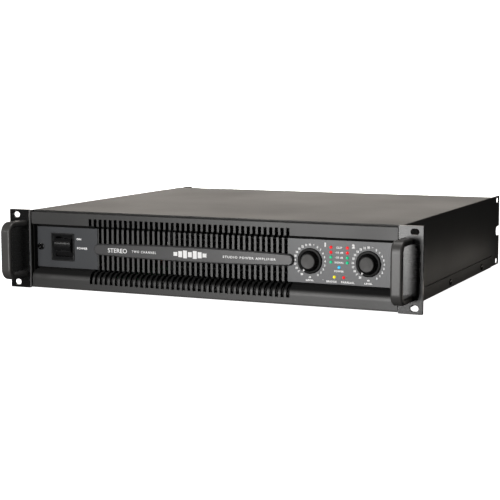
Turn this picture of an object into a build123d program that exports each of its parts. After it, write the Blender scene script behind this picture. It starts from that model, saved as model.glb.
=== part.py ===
"""Two-unit rack-mount stereo power amplifier, modelled as its separate pieces.

Frame: X to the right seen from the front, Y towards the rear, Z up, millimetres.
The origin is the centre of the four rack slots, on the front face of the rack ears.
"""
from build123d import *
from math import cos, radians, sin
import os

# ---------------------------------------------------------------- driving sizes
# Rack standard, two units high
PANEL_WIDTH = 482.6
PANEL_HEIGHT = 88.1
RACK_HOLE_X = 465.1 / 2
RACK_HOLE_Z = 76.2 / 2
RACK_SLOT_LENGTH = 9.0
RACK_SLOT_WIDTH = 6.4
EAR_THICK = 3.0
EAR_INNER_X = 216.0
EAR_LEG_DEPTH = 42.0
EAR_LEG_Z = 36.0
EAR_SCREW_Y = 24.0
EAR_SCREW_Z = 24.0

# Sheet-metal case
SHEET = 1.5
CASE_X = 217.5
CASE_TOP = 43.3
CASE_BOTTOM = -43.4
COVER_FRONT_Y = 10.5
SIDE_FRONT_Y = 3.3
REAR_Y = 370.0
SUPPORT_Y = 403.0
PAN_FLANGE_TOP = -29.8
COVER_SIDE_BOTTOM = -28.9
PAN_FLANGE_REAR_Y = 364.8
SIDE_SCREW_YS = (47.3, 182.6, 317.9)
SIDE_SCREW_Z = -37.0
SUPPORT_SLOT_Y = 392.5
SUPPORT_SLOT_Z = 38.0
SUPPORT_SLOT_LENGTH = 12.0
SUPPORT_SLOT_WIDTH = 6.5
NOTCH_Z = -0.6
NOTCH_WIDTH = 11.8
NOTCH_END_Y = 386.6
REAR_SCREW_XS = (-200.0, -62.0, 62.0, 200.0)
REAR_SCREW_Z = 38.2

# Handles
HANDLE_X = 224.8
HANDLE_REACH = 35.0
HANDLE_HALF_HEIGHT = 32.0
HANDLE_WIDTH = 12.2
HANDLE_BAR = 6.5
HANDLE_EDGE_R = 2.4
HANDLE_BEND_R = 8.75

# Fascia
BAND_Y = 2.5
BAND_THICK = 3.0
BAND_X = 214.4
BAND_Z = 41.8
TOP_BAND_Z = 28.3
RETURN_THICK = 2.5
FRAME_Y = 14.8
FRAME_THICK = 2.2
ROUND_R = 10.0
ROUND_TOP_Z = -23.0
WINDOW_X = 202.0
WINDOW_Z = (-17.0, 24.0)
CHEEK_THICK = 1.0
CHEEK_Y = 6.0

# Grille
SLOT_PITCH = 6.35
SLOT_WIDTH = 3.7
SLOT_COUNT = 38
SLOT_CENTRE_X = -21.0
SLOT_TOP = 36.1
SLOT_BOTTOM = -36.0
FLOOR_Y = 12.8
FLOOR_THICK = 2.0
FLOOR_X = 213.2
FLOOR_Z = (-20.9, 25.0)
SPINE_Z = (-1.6, 5.6)

# Plates and name bar
PLATE_Y = 11.9
PLATE_THICK = 0.9
PLATE_X = 213.2
SWITCH_PLATE_END = -135.0
CONTROL_PLATE_END = 92.2
PLATE_SCREW_X = 208.3
AXIS_Z = 2.1
BAR_X = (-138.4, 99.7)
BAR_END_HALF = 6.1
BAR_MID_HALF = 8.3
BAR_FACE_Y = 8.6
BAR_CHAMFER = 1.3
BAR_GAP = 0.25

# Power switch
SWITCH_X = -179.8
SWITCH_Z = 2.4
BEZEL_W = 30.0
BEZEL_H = 31.2
BEZEL_Y = 10.9
NECK_W = 25.8
NECK_H = 27.0
NECK_REAR_Y = 26.0
OPENING_W = 21.4
OPENING_H = 22.4
FUNNEL_Y = 14.0
ROCKER_W = 20.7
PIVOT_Y = 19.5
PIVOT_R = 1.5

# Gain controls
KNOB_XS = (117.2, 180.7)
SKIRT_R = 13.4
SKIRT_Y = (10.2, 11.6)
GRIP_BASE_R = 10.6
GRIP_TIP_R = 8.3
KNOB_FRONT_Y = 4.8
CAP_R = 7.2
CAP_THICK = 1.3
FLUTES = 24
SHAFT_R = 3.0
BUSH_R = 4.6
POT_R = 8.3
POT_Y = (14.9, 23.6)
RUNNING_FIT = 0.05

# Lamps
LED_R = 1.5
LED_X = 149.1
LED_COLUMN = 8.9
LED_STEP = 5.08
LED_TOP_Z = 17.3
BOARD_Y = 24.2
BOARD_THICK = 1.6

# Rear panel layout
FAN_SIZE = 80.0
FAN_DEPTH = 25.0
FAN_BORE_R = 37.6
FAN_BLADES = 7
FAN_HUB_R = 16.0
XLR_XS = (-92.0, -126.0)
SPEAKER_XS = (76.0, 110.0)
SOCKET_Z = 8.0
FLANGE_W = 26.0
FLANGE_H = 31.0
FLANGE_THICK = 2.0
BREAKER_X = 143.0
INLET_X = 180.0
MODE_X = -160.0

# Inside
FLOOR_TOP = CASE_BOTTOM + SHEET
BOARD_LIFT = 8.0
SINK_X = (12.0, 78.0)
SINK_Y = (70.0, 300.0)
SINK_TOP = 36.0


# ---------------------------------------------------------------- small helpers
def front_plane(y):
    """Plane parallel to the front panel at depth y; its normal points forwards."""
    return Plane.XZ.offset(-y)


def block(x_span, y_span, z_span, mode=Mode.ADD):
    """Axis-aligned block given by its spans, for use inside a part block."""
    middle = [(a + b) / 2 for a, b in (x_span, y_span, z_span)]
    size = [abs(b - a) for a, b in (x_span, y_span, z_span)]
    with Locations(tuple(middle)):
        Box(*size, mode=mode)


def rod(x, z, radius, y_span, mode=Mode.ADD):
    """Round rod or hole parallel to Y, for use inside a part block."""
    with BuildSketch(front_plane(y_span[1])) as disc:
        with Locations((x, z)):
            Circle(radius)
    extrude(disc.sketch, amount=y_span[1] - y_span[0], mode=mode)


def side_rod(y, z, radius, x_span, mode=Mode.ADD):
    """Round rod or hole parallel to X, for use inside a part block."""
    with BuildSketch(Plane.YZ.offset(x_span[0])) as disc:
        with Locations((y, z)):
            Circle(radius)
    extrude(disc.sketch, amount=x_span[1] - x_span[0], mode=mode)


def save(piece, node):
    """Label a finished piece and write it as its own file."""
    piece.part.label = node
    export_step(piece.part, f"parts/{node}.step")


# ---------------------------------------------------------------- case
def make_chassis_pan():
    """Folded steel bottom with upturned sides, a front lip and two rear lips."""
    with BuildPart() as pan:
        block((-CASE_X, CASE_X), (SIDE_FRONT_Y, REAR_Y - SHEET), (CASE_BOTTOM, FLOOR_TOP))
        for side in (-1, 1):
            flange_x = (side * (CASE_X - SHEET), side * CASE_X)
            block(flange_x, (SIDE_FRONT_Y, PAN_FLANGE_REAR_Y), (CASE_BOTTOM, PAN_FLANGE_TOP))
            rear_lip_x = (side * 50.0, side * (CASE_X - SHEET - 2.0))
            block(rear_lip_x, (REAR_Y - 2 * SHEET, REAR_Y - SHEET), (CASE_BOTTOM, -33.0))
            block((side * CASE_X, side * (CASE_X - SHEET)),
                  (PAN_FLANGE_REAR_Y, REAR_Y), (CASE_BOTTOM, FLOOR_TOP), mode=Mode.SUBTRACT)
            for y in SIDE_SCREW_YS:
                side_rod(y, SIDE_SCREW_Z, 2.1, sorted(flange_x), mode=Mode.SUBTRACT)
        block((-205.0, 205.0), (17.3, 17.3 + SHEET), (CASE_BOTTOM, -30.0))
        for x in REAR_SCREW_XS:
            rod(x, -REAR_SCREW_Z, 1.6, (REAR_Y - 2 * SHEET, REAR_Y - SHEET), mode=Mode.SUBTRACT)
    return pan


def make_top_cover():
    """Wrap-over steel cover whose sides run on rearwards as the rear rack supports."""
    with BuildPart() as cover:
        with BuildSketch(Plane.YZ.offset(-CASE_X)):
            with BuildLine():
                Polyline(
                    (SIDE_FRONT_Y, CASE_TOP),
                    (SIDE_FRONT_Y, COVER_SIDE_BOTTOM),
                    (PAN_FLANGE_REAR_Y + 1.0, COVER_SIDE_BOTTOM),
                    (PAN_FLANGE_REAR_Y + 1.0, CASE_BOTTOM),
                    (SUPPORT_Y, CASE_BOTTOM),
                    (SUPPORT_Y, CASE_TOP),
                    close=True,
                )
            make_face()
        extrude(amount=2 * CASE_X)
        fillet(cover.edges().filter_by(Axis.X).group_by(Axis.Y)[-1], radius=2.5)
        fillet(cover.edges().filter_by(Axis.Y).group_by(Axis.Z)[-1], radius=1.2)
        inner_x = CASE_X - SHEET
        block((-inner_x, inner_x), (SIDE_FRONT_Y - 1, SUPPORT_Y + 1),
              (CASE_BOTTOM - 1, CASE_TOP - SHEET), mode=Mode.SUBTRACT)
        block((-inner_x, inner_x), (REAR_Y, SUPPORT_Y + 1),
              (CASE_TOP - SHEET - 1, CASE_TOP + 1), mode=Mode.SUBTRACT)
        block((-inner_x, inner_x), (SIDE_FRONT_Y - 1, COVER_FRONT_Y),
              (CASE_TOP - SHEET - 1, CASE_TOP + 1), mode=Mode.SUBTRACT)
        with BuildSketch(Plane.YZ.offset(-CASE_X)):
            for z in (-SUPPORT_SLOT_Z, SUPPORT_SLOT_Z):
                with Locations((SUPPORT_SLOT_Y, z)):
                    SlotOverall(SUPPORT_SLOT_LENGTH, SUPPORT_SLOT_WIDTH)
            notch_length = 2 * (SUPPORT_Y - NOTCH_END_Y)
            with Locations((SUPPORT_Y, NOTCH_Z)):
                SlotOverall(notch_length, NOTCH_WIDTH)
        extrude(amount=2 * CASE_X, mode=Mode.SUBTRACT)
        for side in (-1, 1):
            lip_x = (side * (inner_x - SHEET), side * inner_x)
            block(lip_x, (SIDE_SCREW_YS[0] - 9, SIDE_SCREW_YS[-1] + 9), (-41.0, -20.0))
            for y in SIDE_SCREW_YS:
                side_rod(y, SIDE_SCREW_Z, 2.1, sorted(lip_x), mode=Mode.SUBTRACT)
            rear_lip_x = (side * 50.0, side * (inner_x - 2.0))
            block(rear_lip_x, (REAR_Y - 2 * SHEET, REAR_Y - SHEET), (33.0, CASE_TOP - SHEET))
        for x in REAR_SCREW_XS:
            rod(x, REAR_SCREW_Z, 1.6, (REAR_Y - 2 * SHEET, REAR_Y - SHEET), mode=Mode.SUBTRACT)
    return cover


def make_rear_panel():
    """Steel rear panel with the fan opening and a cut-out for each connector."""
    panel_x = CASE_X - SHEET - 0.2
    with BuildPart() as panel:
        block((-panel_x, panel_x), (REAR_Y - SHEET, REAR_Y), (FLOOR_TOP + 0.1, CASE_TOP - SHEET - 0.1))
        block((-CASE_X, CASE_X), (REAR_Y - SHEET, REAR_Y),
              (CASE_TOP - SHEET - 0.1, CASE_TOP), mode=Mode.SUBTRACT)
        rod(0, 0, FAN_BORE_R, (REAR_Y - SHEET, REAR_Y), mode=Mode.SUBTRACT)
        with BuildSketch(front_plane(REAR_Y)):
            for x in XLR_XS + SPEAKER_XS:
                with Locations((x, SOCKET_Z)):
                    Circle(12.2)
            for x in XLR_XS:
                with Locations((x, SOCKET_Z + 12.0)):
                    Rectangle(7.4, 6.0)
            with Locations((INLET_X, SOCKET_Z)):
                Rectangle(30.4, 22.4)
            with Locations((BREAKER_X, SOCKET_Z)):
                Circle(5.6)
            with Locations((MODE_X, SOCKET_Z)):
                Rectangle(13.0, 5.0)
            with GridLocations(71.5, 71.5, 2, 2):
                Circle(2.2)
            with Locations([(x, s * REAR_SCREW_Z) for x in REAR_SCREW_XS for s in (-1, 1)]):
                Circle(1.7)
        extrude(amount=SHEET, mode=Mode.SUBTRACT)
    return panel


def make_side_screws():
    """Six round-head screws that hold the cover to the pan."""
    with BuildPart() as screws:
        for side in (-1, 1):
            for y in SIDE_SCREW_YS:
                side_rod(y, SIDE_SCREW_Z, 1.9, sorted((side * (CASE_X - 5), side * CASE_X)))
                with BuildSketch(Plane.YZ.offset(side * CASE_X)):
                    with Locations((y, SIDE_SCREW_Z)):
                        Circle(3.5)
                extrude(amount=side * 1.9, taper=28)
                side_rod(y, SIDE_SCREW_Z, 1.1,
                         sorted((side * (CASE_X + 0.9), side * (CASE_X + 2.5))), mode=Mode.SUBTRACT)
    return screws


def make_rear_screws():
    """Eight screws that hold the rear panel to the lips of the pan and the cover."""
    with BuildPart() as screws:
        for x in REAR_SCREW_XS:
            for z in (-REAR_SCREW_Z, REAR_SCREW_Z):
                rod(x, z, 1.5, (REAR_Y - 7, REAR_Y))
                rod(x, z, 2.9, (REAR_Y, REAR_Y + 1.8))
                rod(x, z, 0.9, (REAR_Y + 0.8, REAR_Y + 2), mode=Mode.SUBTRACT)
    return screws


# ---------------------------------------------------------------- ears and handles
def make_rack_ear(side):
    """Aluminium angle: slotted face in front, leg along the case side. side is -1 or 1."""
    with BuildPart() as ear:
        with BuildSketch(front_plane(EAR_THICK)):
            outer_x = PANEL_WIDTH / 2
            with Locations((side * (EAR_INNER_X + outer_x) / 2, 0)):
                RectangleRounded(outer_x - EAR_INNER_X, PANEL_HEIGHT, 0.8)
            for z in (-RACK_HOLE_Z, RACK_HOLE_Z):
                with Locations((side * RACK_HOLE_X, z)):
                    SlotOverall(RACK_SLOT_LENGTH, RACK_SLOT_WIDTH, mode=Mode.SUBTRACT)
        extrude(amount=EAR_THICK)
        leg_x = (side * CASE_X, side * (CASE_X + EAR_THICK))
        block(leg_x, (EAR_THICK - 1, EAR_LEG_DEPTH), (-EAR_LEG_Z, EAR_LEG_Z))
        for z in (-EAR_SCREW_Z, EAR_SCREW_Z):
            side_rod(EAR_SCREW_Y, z, 2.2, sorted(leg_x), mode=Mode.SUBTRACT)
        screw_z = HANDLE_HALF_HEIGHT - HANDLE_BAR / 2
        for z in (-screw_z, screw_z):
            rod(side * HANDLE_X, z, 2.3, (0, EAR_THICK), mode=Mode.SUBTRACT)
    return ear


def make_ear_screws():
    """Four screws through the ear legs into the case sides."""
    with BuildPart() as screws:
        outer = CASE_X + EAR_THICK
        for side in (-1, 1):
            for z in (-EAR_SCREW_Z, EAR_SCREW_Z):
                side_rod(EAR_SCREW_Y, z, 2.0, sorted((side * CASE_X, side * outer)))
                side_rod(EAR_SCREW_Y, z, 4.0, sorted((side * outer, side * (outer + 2.0))))
                side_rod(EAR_SCREW_Y, z, 1.3,
                         sorted((side * (outer + 0.8), side * (outer + 3))), mode=Mode.SUBTRACT)
    return screws


def make_handle(side):
    """D handle bent from flat-oval bar, standing on the ear's front face."""
    leg_z = HANDLE_HALF_HEIGHT - HANDLE_BAR / 2
    grip_y = -(HANDLE_REACH - HANDLE_BAR / 2)
    with BuildPart() as handle:
        with BuildLine(Plane.YZ.offset(side * HANDLE_X)):
            FilletPolyline((0, leg_z), (grip_y, leg_z), (grip_y, -leg_z), (0, -leg_z),
                           radius=HANDLE_BEND_R)
        with BuildSketch(front_plane(0)):
            with Locations((side * HANDLE_X, leg_z)):
                RectangleRounded(HANDLE_WIDTH, HANDLE_BAR, HANDLE_EDGE_R)
        sweep()
        for z in (-leg_z, leg_z):
            rod(side * HANDLE_X, z, 2.1, (-14, 0), mode=Mode.SUBTRACT)
    return handle


def make_handle_screws():
    """Four screws from behind the ears into the handle legs."""
    leg_z = HANDLE_HALF_HEIGHT - HANDLE_BAR / 2
    with BuildPart() as screws:
        for side in (-1, 1):
            for z in (-leg_z, leg_z):
                rod(side * HANDLE_X, z, 2.0, (-12, EAR_THICK))
                rod(side * HANDLE_X, z, 3.8, (EAR_THICK, EAR_THICK + 3))
                rod(side * HANDLE_X, z, 1.7, (EAR_THICK + 1, EAR_THICK + 4), mode=Mode.SUBTRACT)
    return screws


# ---------------------------------------------------------------- fascia
def bar_outline(margin):
    """Outline of the bowed name bar, grown by margin, inside a sketch block."""
    left, right = BAR_X[0] - margin, BAR_X[1] + margin
    end_half = BAR_END_HALF + margin
    mid_half = BAR_MID_HALF + margin
    middle = (left + right) / 2
    with BuildLine() as outline:
        ThreePointArc((left + end_half, AXIS_Z + end_half), (middle, AXIS_Z + mid_half),
                      (right - end_half, AXIS_Z + end_half))
        ThreePointArc((right - end_half, AXIS_Z + end_half), (right, AXIS_Z),
                      (right - end_half, AXIS_Z - end_half))
        ThreePointArc((right - end_half, AXIS_Z - end_half), (middle, AXIS_Z - mid_half),
                      (left + end_half, AXIS_Z - end_half))
        ThreePointArc((left + end_half, AXIS_Z - end_half), (left, AXIS_Z),
                      (left + end_half, AXIS_Z + end_half))
    make_face(outline.line)


def make_fascia():
    """Cast front frame: slotted top band, slotted bottom band with a rounded shoulder."""
    rear = FRAME_Y + FRAME_THICK
    inner_r = ROUND_R - BAND_THICK
    round_z = ROUND_TOP_Z - ROUND_R
    round_y = BAND_Y + ROUND_R
    with BuildPart() as fascia:
        with BuildSketch(Plane.YZ.offset(-BAND_X)):
            with BuildLine():
                Polyline((FRAME_Y, ROUND_TOP_Z), (round_y, ROUND_TOP_Z))
                ThreePointArc((round_y, ROUND_TOP_Z),
                              (round_y - ROUND_R * cos(radians(45)), round_z + ROUND_R * sin(radians(45))),
                              (BAND_Y, round_z))
                Polyline((BAND_Y, round_z), (BAND_Y, -BAND_Z), (rear, -BAND_Z),
                         (rear, WINDOW_Z[0]), (FRAME_Y, WINDOW_Z[0]), (FRAME_Y, ROUND_TOP_Z))
            make_face()
            with BuildLine():
                Polyline((BAND_Y, TOP_BAND_Z), (FRAME_Y, TOP_BAND_Z), (FRAME_Y, WINDOW_Z[1]),
                         (rear, WINDOW_Z[1]), (rear, BAND_Z), (BAND_Y, BAND_Z), (BAND_Y, TOP_BAND_Z))
            make_face()
        extrude(amount=2 * BAND_X)
        front_edges = fascia.edges().filter_by(Axis.X).group_by(Axis.Y)[0]
        fillet(front_edges.sort_by(Axis.Z)[-1], radius=0.8)
        with BuildSketch(Plane.YZ.offset(-BAND_X + CHEEK_THICK)):
            with BuildLine():
                Polyline((FRAME_Y, ROUND_TOP_Z - BAND_THICK), (round_y, ROUND_TOP_Z - BAND_THICK))
                ThreePointArc((round_y, round_z + inner_r),
                              (round_y - inner_r * cos(radians(45)), round_z + inner_r * sin(radians(45))),
                              (round_y - inner_r, round_z))
                Polyline((BAND_Y + BAND_THICK, round_z), (BAND_Y + BAND_THICK, RETURN_THICK - BAND_Z),
                         (FRAME_Y, RETURN_THICK - BAND_Z), (FRAME_Y, ROUND_TOP_Z - BAND_THICK))
            make_face()
        extrude(amount=2 * (BAND_X - CHEEK_THICK), mode=Mode.SUBTRACT)
        block((-BAND_X + CHEEK_THICK, BAND_X - CHEEK_THICK), (BAND_Y + BAND_THICK, FRAME_Y),
              (TOP_BAND_Z + RETURN_THICK, BAND_Z - RETURN_THICK), mode=Mode.SUBTRACT)
        for side in (-1, 1):
            block((side * WINDOW_X, side * BAND_X), (FRAME_Y, rear), WINDOW_Z)
            block((side * (BAND_X - CHEEK_THICK), side * BAND_X), (CHEEK_Y, FRAME_Y + 1),
                  (ROUND_TOP_Z - 1, TOP_BAND_Z + 1))
        with BuildSketch(front_plane(rear + 1)):
            for low, high in ((SLOT_BOTTOM, WINDOW_Z[0] + 1), (WINDOW_Z[1] - 1, SLOT_TOP)):
                with Locations((SLOT_CENTRE_X, (low + high) / 2)):
                    with GridLocations(SLOT_PITCH, 1, SLOT_COUNT, 1):
                        Rectangle(SLOT_WIDTH, high - low)
            with Locations((-PLATE_SCREW_X, AXIS_Z), (PLATE_SCREW_X, AXIS_Z)):
                Circle(1.65)
        extrude(amount=rear + 1, mode=Mode.SUBTRACT)
    return fascia


def make_grille_panel():
    """Floor of the recess: slots above and below a spine, holes for switch and controls."""
    with BuildPart() as panel:
        block((-FLOOR_X, FLOOR_X), (FLOOR_Y, FLOOR_Y + FLOOR_THICK), FLOOR_Z)
        with BuildSketch(front_plane(FLOOR_Y + FLOOR_THICK + 1)):
            for low, high in ((FLOOR_Z[0] - 1, SPINE_Z[0]), (SPINE_Z[1], FLOOR_Z[1] + 1)):
                with Locations((SLOT_CENTRE_X, (low + high) / 2)):
                    with GridLocations(SLOT_PITCH, 1, SLOT_COUNT - 2, 1):
                        Rectangle(SLOT_WIDTH, high - low)
            control_holes(0.3)
        extrude(amount=FLOOR_THICK + 2, mode=Mode.SUBTRACT)
    return panel


def control_holes(margin):
    """Openings for switch, shafts, lamps and fixing screws, inside a sketch block."""
    with Locations((SWITCH_X, SWITCH_Z)):
        Rectangle(NECK_W + 2 * margin, NECK_H + 2 * margin)
    with Locations([(x, AXIS_Z) for x in KNOB_XS]):
        Circle(BUSH_R + 0.1)
    with Locations(red_lamps() + green_lamps() + [blue_lamp(), yellow_lamp()]):
        Circle(LED_R + 0.1 + margin)
    with Locations((-PLATE_SCREW_X, AXIS_Z), (PLATE_SCREW_X, AXIS_Z)):
        Circle(1.8)


def red_lamps():
    """Centres of the clip and -10 dB lamps of both channels and the parallel-mode lamp."""
    pairs = [(LED_X + s * LED_COLUMN, LED_TOP_Z - row * LED_STEP) for row in (0, 1) for s in (-1, 1)]
    return pairs + [(LED_X + LED_STEP, LED_TOP_Z - 6 * LED_STEP)]


def green_lamps():
    """Centres of the -20 dB and signal lamps of both channels."""
    return [(LED_X + s * LED_COLUMN, LED_TOP_Z - row * LED_STEP) for row in (2, 3) for s in (-1, 1)]


def blue_lamp():
    """Centre of the power lamp."""
    return (LED_X, LED_TOP_Z - 4 * LED_STEP)


def yellow_lamp():
    """Centre of the bridge-mode lamp."""
    return (LED_X - LED_STEP, LED_TOP_Z - 6 * LED_STEP)


def make_plate(x_span):
    """Thin printed plate on the recess floor, notched round the name bar's end."""
    with BuildPart() as plate:
        block(x_span, (PLATE_Y, PLATE_Y + PLATE_THICK), FLOOR_Z)
        vertical = plate.edges().filter_by(Axis.Y)
        fillet(vertical, radius=0.6)
        chamfer(plate.faces().sort_by(Axis.Y)[0].edges(), length=0.25)
        with BuildSketch(front_plane(PLATE_Y + PLATE_THICK + 0.1)):
            control_holes(0)
            bar_outline(BAR_GAP)
        extrude(amount=PLATE_THICK + 0.3, mode=Mode.SUBTRACT)
    return plate


def make_name_bar():
    """Bowed bar across the grille, with bevelled edges and round ends."""
    with BuildPart() as bar:
        with BuildSketch(front_plane(FLOOR_Y)):
            bar_outline(0)
        extrude(amount=FLOOR_Y - BAR_FACE_Y)
        chamfer(bar.faces().sort_by(Axis.Y)[0].edges(), length=BAR_CHAMFER)
    return bar


def make_plate_screws():
    """Two dark socket screws, one at each end of the recess."""
    with BuildPart() as screws:
        for x in (-PLATE_SCREW_X, PLATE_SCREW_X):
            rod(x, AXIS_Z, 1.6, (PLATE_Y, FRAME_Y + FRAME_THICK))
            rod(x, AXIS_Z, 3.9, (PLATE_Y - 1.6, PLATE_Y))
        chamfer(screws.faces().group_by(Axis.Y)[0].edges(), length=0.6)
        for x in (-PLATE_SCREW_X, PLATE_SCREW_X):
            with BuildSketch(front_plane(PLATE_Y - 0.2)):
                with Locations((x, AXIS_Z)):
                    RegularPolygon(1.9, 6)
            extrude(amount=2, mode=Mode.SUBTRACT)
    return screws


# ---------------------------------------------------------------- power switch
def make_switch_bezel():
    """Switch frame whose four inner faces slope down to the rocker's opening."""
    with BuildPart() as bezel:
        with BuildSketch(front_plane(PLATE_Y)):
            with Locations((SWITCH_X, SWITCH_Z)):
                RectangleRounded(BEZEL_W, BEZEL_H, 1.0)
        extrude(amount=PLATE_Y - BEZEL_Y)
        chamfer(bezel.faces().sort_by(Axis.Y)[0].edges(), length=0.4)
        with BuildSketch(front_plane(NECK_REAR_Y)):
            with Locations((SWITCH_X, SWITCH_Z)):
                Rectangle(NECK_W, NECK_H)
        extrude(amount=NECK_REAR_Y - PLATE_Y)
        with BuildSketch(front_plane(NECK_REAR_Y)):
            with Locations((SWITCH_X, SWITCH_Z)):
                Rectangle(OPENING_W, OPENING_H)
        extrude(amount=NECK_REAR_Y - BEZEL_Y, mode=Mode.SUBTRACT)
        with BuildSketch(front_plane(BEZEL_Y)):
            with Locations((SWITCH_X, SWITCH_Z)):
                Rectangle(BEZEL_W - 2.4, BEZEL_H - 2.4)
        with BuildSketch(front_plane(FUNNEL_Y)):
            with Locations((SWITCH_X, SWITCH_Z)):
                Rectangle(OPENING_W, OPENING_H)
        loft(mode=Mode.SUBTRACT)
        side_rod(PIVOT_Y, SWITCH_Z, PIVOT_R + RUNNING_FIT,
                 (SWITCH_X - 12.2, SWITCH_X + 12.2), mode=Mode.SUBTRACT)
    return bezel


def make_switch_rocker():
    """Bulged rocker with its lower half pressed in, turning on two stub pins."""
    half = ROCKER_W / 2
    with BuildPart() as rocker:
        with BuildSketch(Plane.YZ.offset(SWITCH_X - half)):
            with BuildLine():
                ThreePointArc((PIVOT_Y - 6.6, SWITCH_Z + 9.4), (PIVOT_Y - 9.6, SWITCH_Z + 3.6),
                              (PIVOT_Y - 7.4, SWITCH_Z - 4.3))
                Polyline((PIVOT_Y - 7.4, SWITCH_Z - 4.3), (PIVOT_Y - 8.1, SWITCH_Z - 4.5),
                         (PIVOT_Y - 8.1, SWITCH_Z - 5.2), (PIVOT_Y - 6.4, SWITCH_Z - 5.5),
                         (PIVOT_Y - 4.1, SWITCH_Z - 10.6), (PIVOT_Y + 0.5, SWITCH_Z - 8.6),
                         (PIVOT_Y + 3.0, SWITCH_Z), (PIVOT_Y + 0.5, SWITCH_Z + 8.6),
                         (PIVOT_Y - 6.6, SWITCH_Z + 9.4))
            make_face()
        extrude(amount=ROCKER_W)
        side_rod(PIVOT_Y, SWITCH_Z, PIVOT_R, (SWITCH_X - 12.0, SWITCH_X + 12.0))
    return rocker


def make_switch_body():
    """Contact block behind the switch frame, with two blade terminals."""
    with BuildPart() as body:
        with BuildSketch(front_plane(NECK_REAR_Y + 16)):
            with Locations((SWITCH_X, SWITCH_Z)):
                Rectangle(NECK_W, NECK_H)
        extrude(amount=16)
        for z in (-6.5, 6.5):
            blade_z = SWITCH_Z + z
            block((SWITCH_X - 3.2, SWITCH_X + 3.2), (NECK_REAR_Y + 16, NECK_REAR_Y + 25),
                  (blade_z - 0.4, blade_z + 0.4))
    return body


# ---------------------------------------------------------------- gain controls
def make_gain_knob(x):
    """Skirted control knob: conical fluted grip, hollow behind, pocket for the cap."""
    with BuildPart() as knob:
        with BuildSketch(Plane.XY.offset(AXIS_Z)):
            with BuildLine():
                Polyline((x + SHAFT_R + 0.02, KNOB_FRONT_Y + CAP_THICK + 1.0),
                         (x, KNOB_FRONT_Y + CAP_THICK + 1.0), (x, KNOB_FRONT_Y + CAP_THICK),
                         (x + CAP_R + 0.05, KNOB_FRONT_Y + CAP_THICK), (x + CAP_R + 0.05, KNOB_FRONT_Y),
                         (x + GRIP_TIP_R - 0.5, KNOB_FRONT_Y), (x + GRIP_TIP_R, KNOB_FRONT_Y + 0.5),
                         (x + GRIP_BASE_R, SKIRT_Y[0]), (x + SKIRT_R - 0.9, SKIRT_Y[0]),
                         (x + SKIRT_R, SKIRT_Y[1] - 0.4), (x + SKIRT_R, SKIRT_Y[1]),
                         (x + POT_R, SKIRT_Y[1]), (x + POT_R, SKIRT_Y[1] - 2.9),
                         (x + SHAFT_R + 0.02, SKIRT_Y[1] - 2.9), close=True)
            make_face()
        revolve(axis=Axis((x, 0, AXIS_Z), (0, 1, 0)))
        with BuildSketch(front_plane(SKIRT_Y[0] - 0.4)):
            with Locations((x, AXIS_Z)):
                with PolarLocations(GRIP_BASE_R + 0.2, FLUTES):
                    Circle(0.75)
        extrude(amount=SKIRT_Y[0] - KNOB_FRONT_Y, mode=Mode.SUBTRACT)
    return knob


def make_knob_cap(x):
    """Dished metal disc set into the front of a knob."""
    with BuildPart() as cap:
        rod(x, AXIS_Z, CAP_R, (KNOB_FRONT_Y - 0.2, KNOB_FRONT_Y + CAP_THICK - 0.05))
        chamfer(cap.faces().sort_by(Axis.Y)[0].edges(), length=0.25)
        dish_r = 60.0
        with Locations((x, KNOB_FRONT_Y + 0.4 - dish_r, AXIS_Z)):
            Sphere(dish_r, mode=Mode.SUBTRACT)
    return cap


def make_potentiometer(x):
    """Rotary control: threaded bush through the panel, round can behind it."""
    with BuildPart() as pot:
        rod(x, AXIS_Z, POT_R, POT_Y)
        rod(x, AXIS_Z, BUSH_R, (9.2, POT_Y[0]))
        rod(x, AXIS_Z, SHAFT_R + RUNNING_FIT, (9.2, POT_Y[1] - 1.0), mode=Mode.SUBTRACT)
        block((x - 5, x + 5), (POT_Y[1] - 1.6, POT_Y[1]), (AXIS_Z - POT_R - 2.5, AXIS_Z - 5))
    return pot


def make_pot_shaft(x):
    """Control shaft that carries the knob."""
    with BuildPart() as shaft:
        rod(x, AXIS_Z, SHAFT_R, (KNOB_FRONT_Y + CAP_THICK + 1.1, POT_Y[1] - 1.2))
    return shaft


def make_pot_nuts():
    """Two thin hexagon nuts that clamp the controls to the plate."""
    with BuildPart() as nuts:
        for x in KNOB_XS:
            with BuildSketch(front_plane(PLATE_Y)):
                with Locations((x, AXIS_Z)):
                    RegularPolygon(6.9, 6)
                    Circle(BUSH_R, mode=Mode.SUBTRACT)
            extrude(amount=2.0)
    return nuts


def make_lamps(places):
    """Round-nosed lamps with a collar and two leads down to the board."""
    with BuildPart() as lamps:
        for x, z in places:
            rod(x, z, LED_R, (PLATE_Y - 0.2, 18.0))
            with Locations((x, PLATE_Y - 0.2, z)):
                Sphere(LED_R)
            rod(x, z, LED_R + 0.35, (17.0, 18.0))
            for lead in (-1.0, 1.0):
                block((x + lead - 0.25, x + lead + 0.25), (18.0, BOARD_Y), (z - 0.25, z + 0.25))
    return lamps


def make_display_board():
    """Circuit board behind the control plate."""
    with BuildPart() as board:
        block((98.0, 200.0), (BOARD_Y, BOARD_Y + BOARD_THICK), (-16.5, 23.5))
    return board


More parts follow.
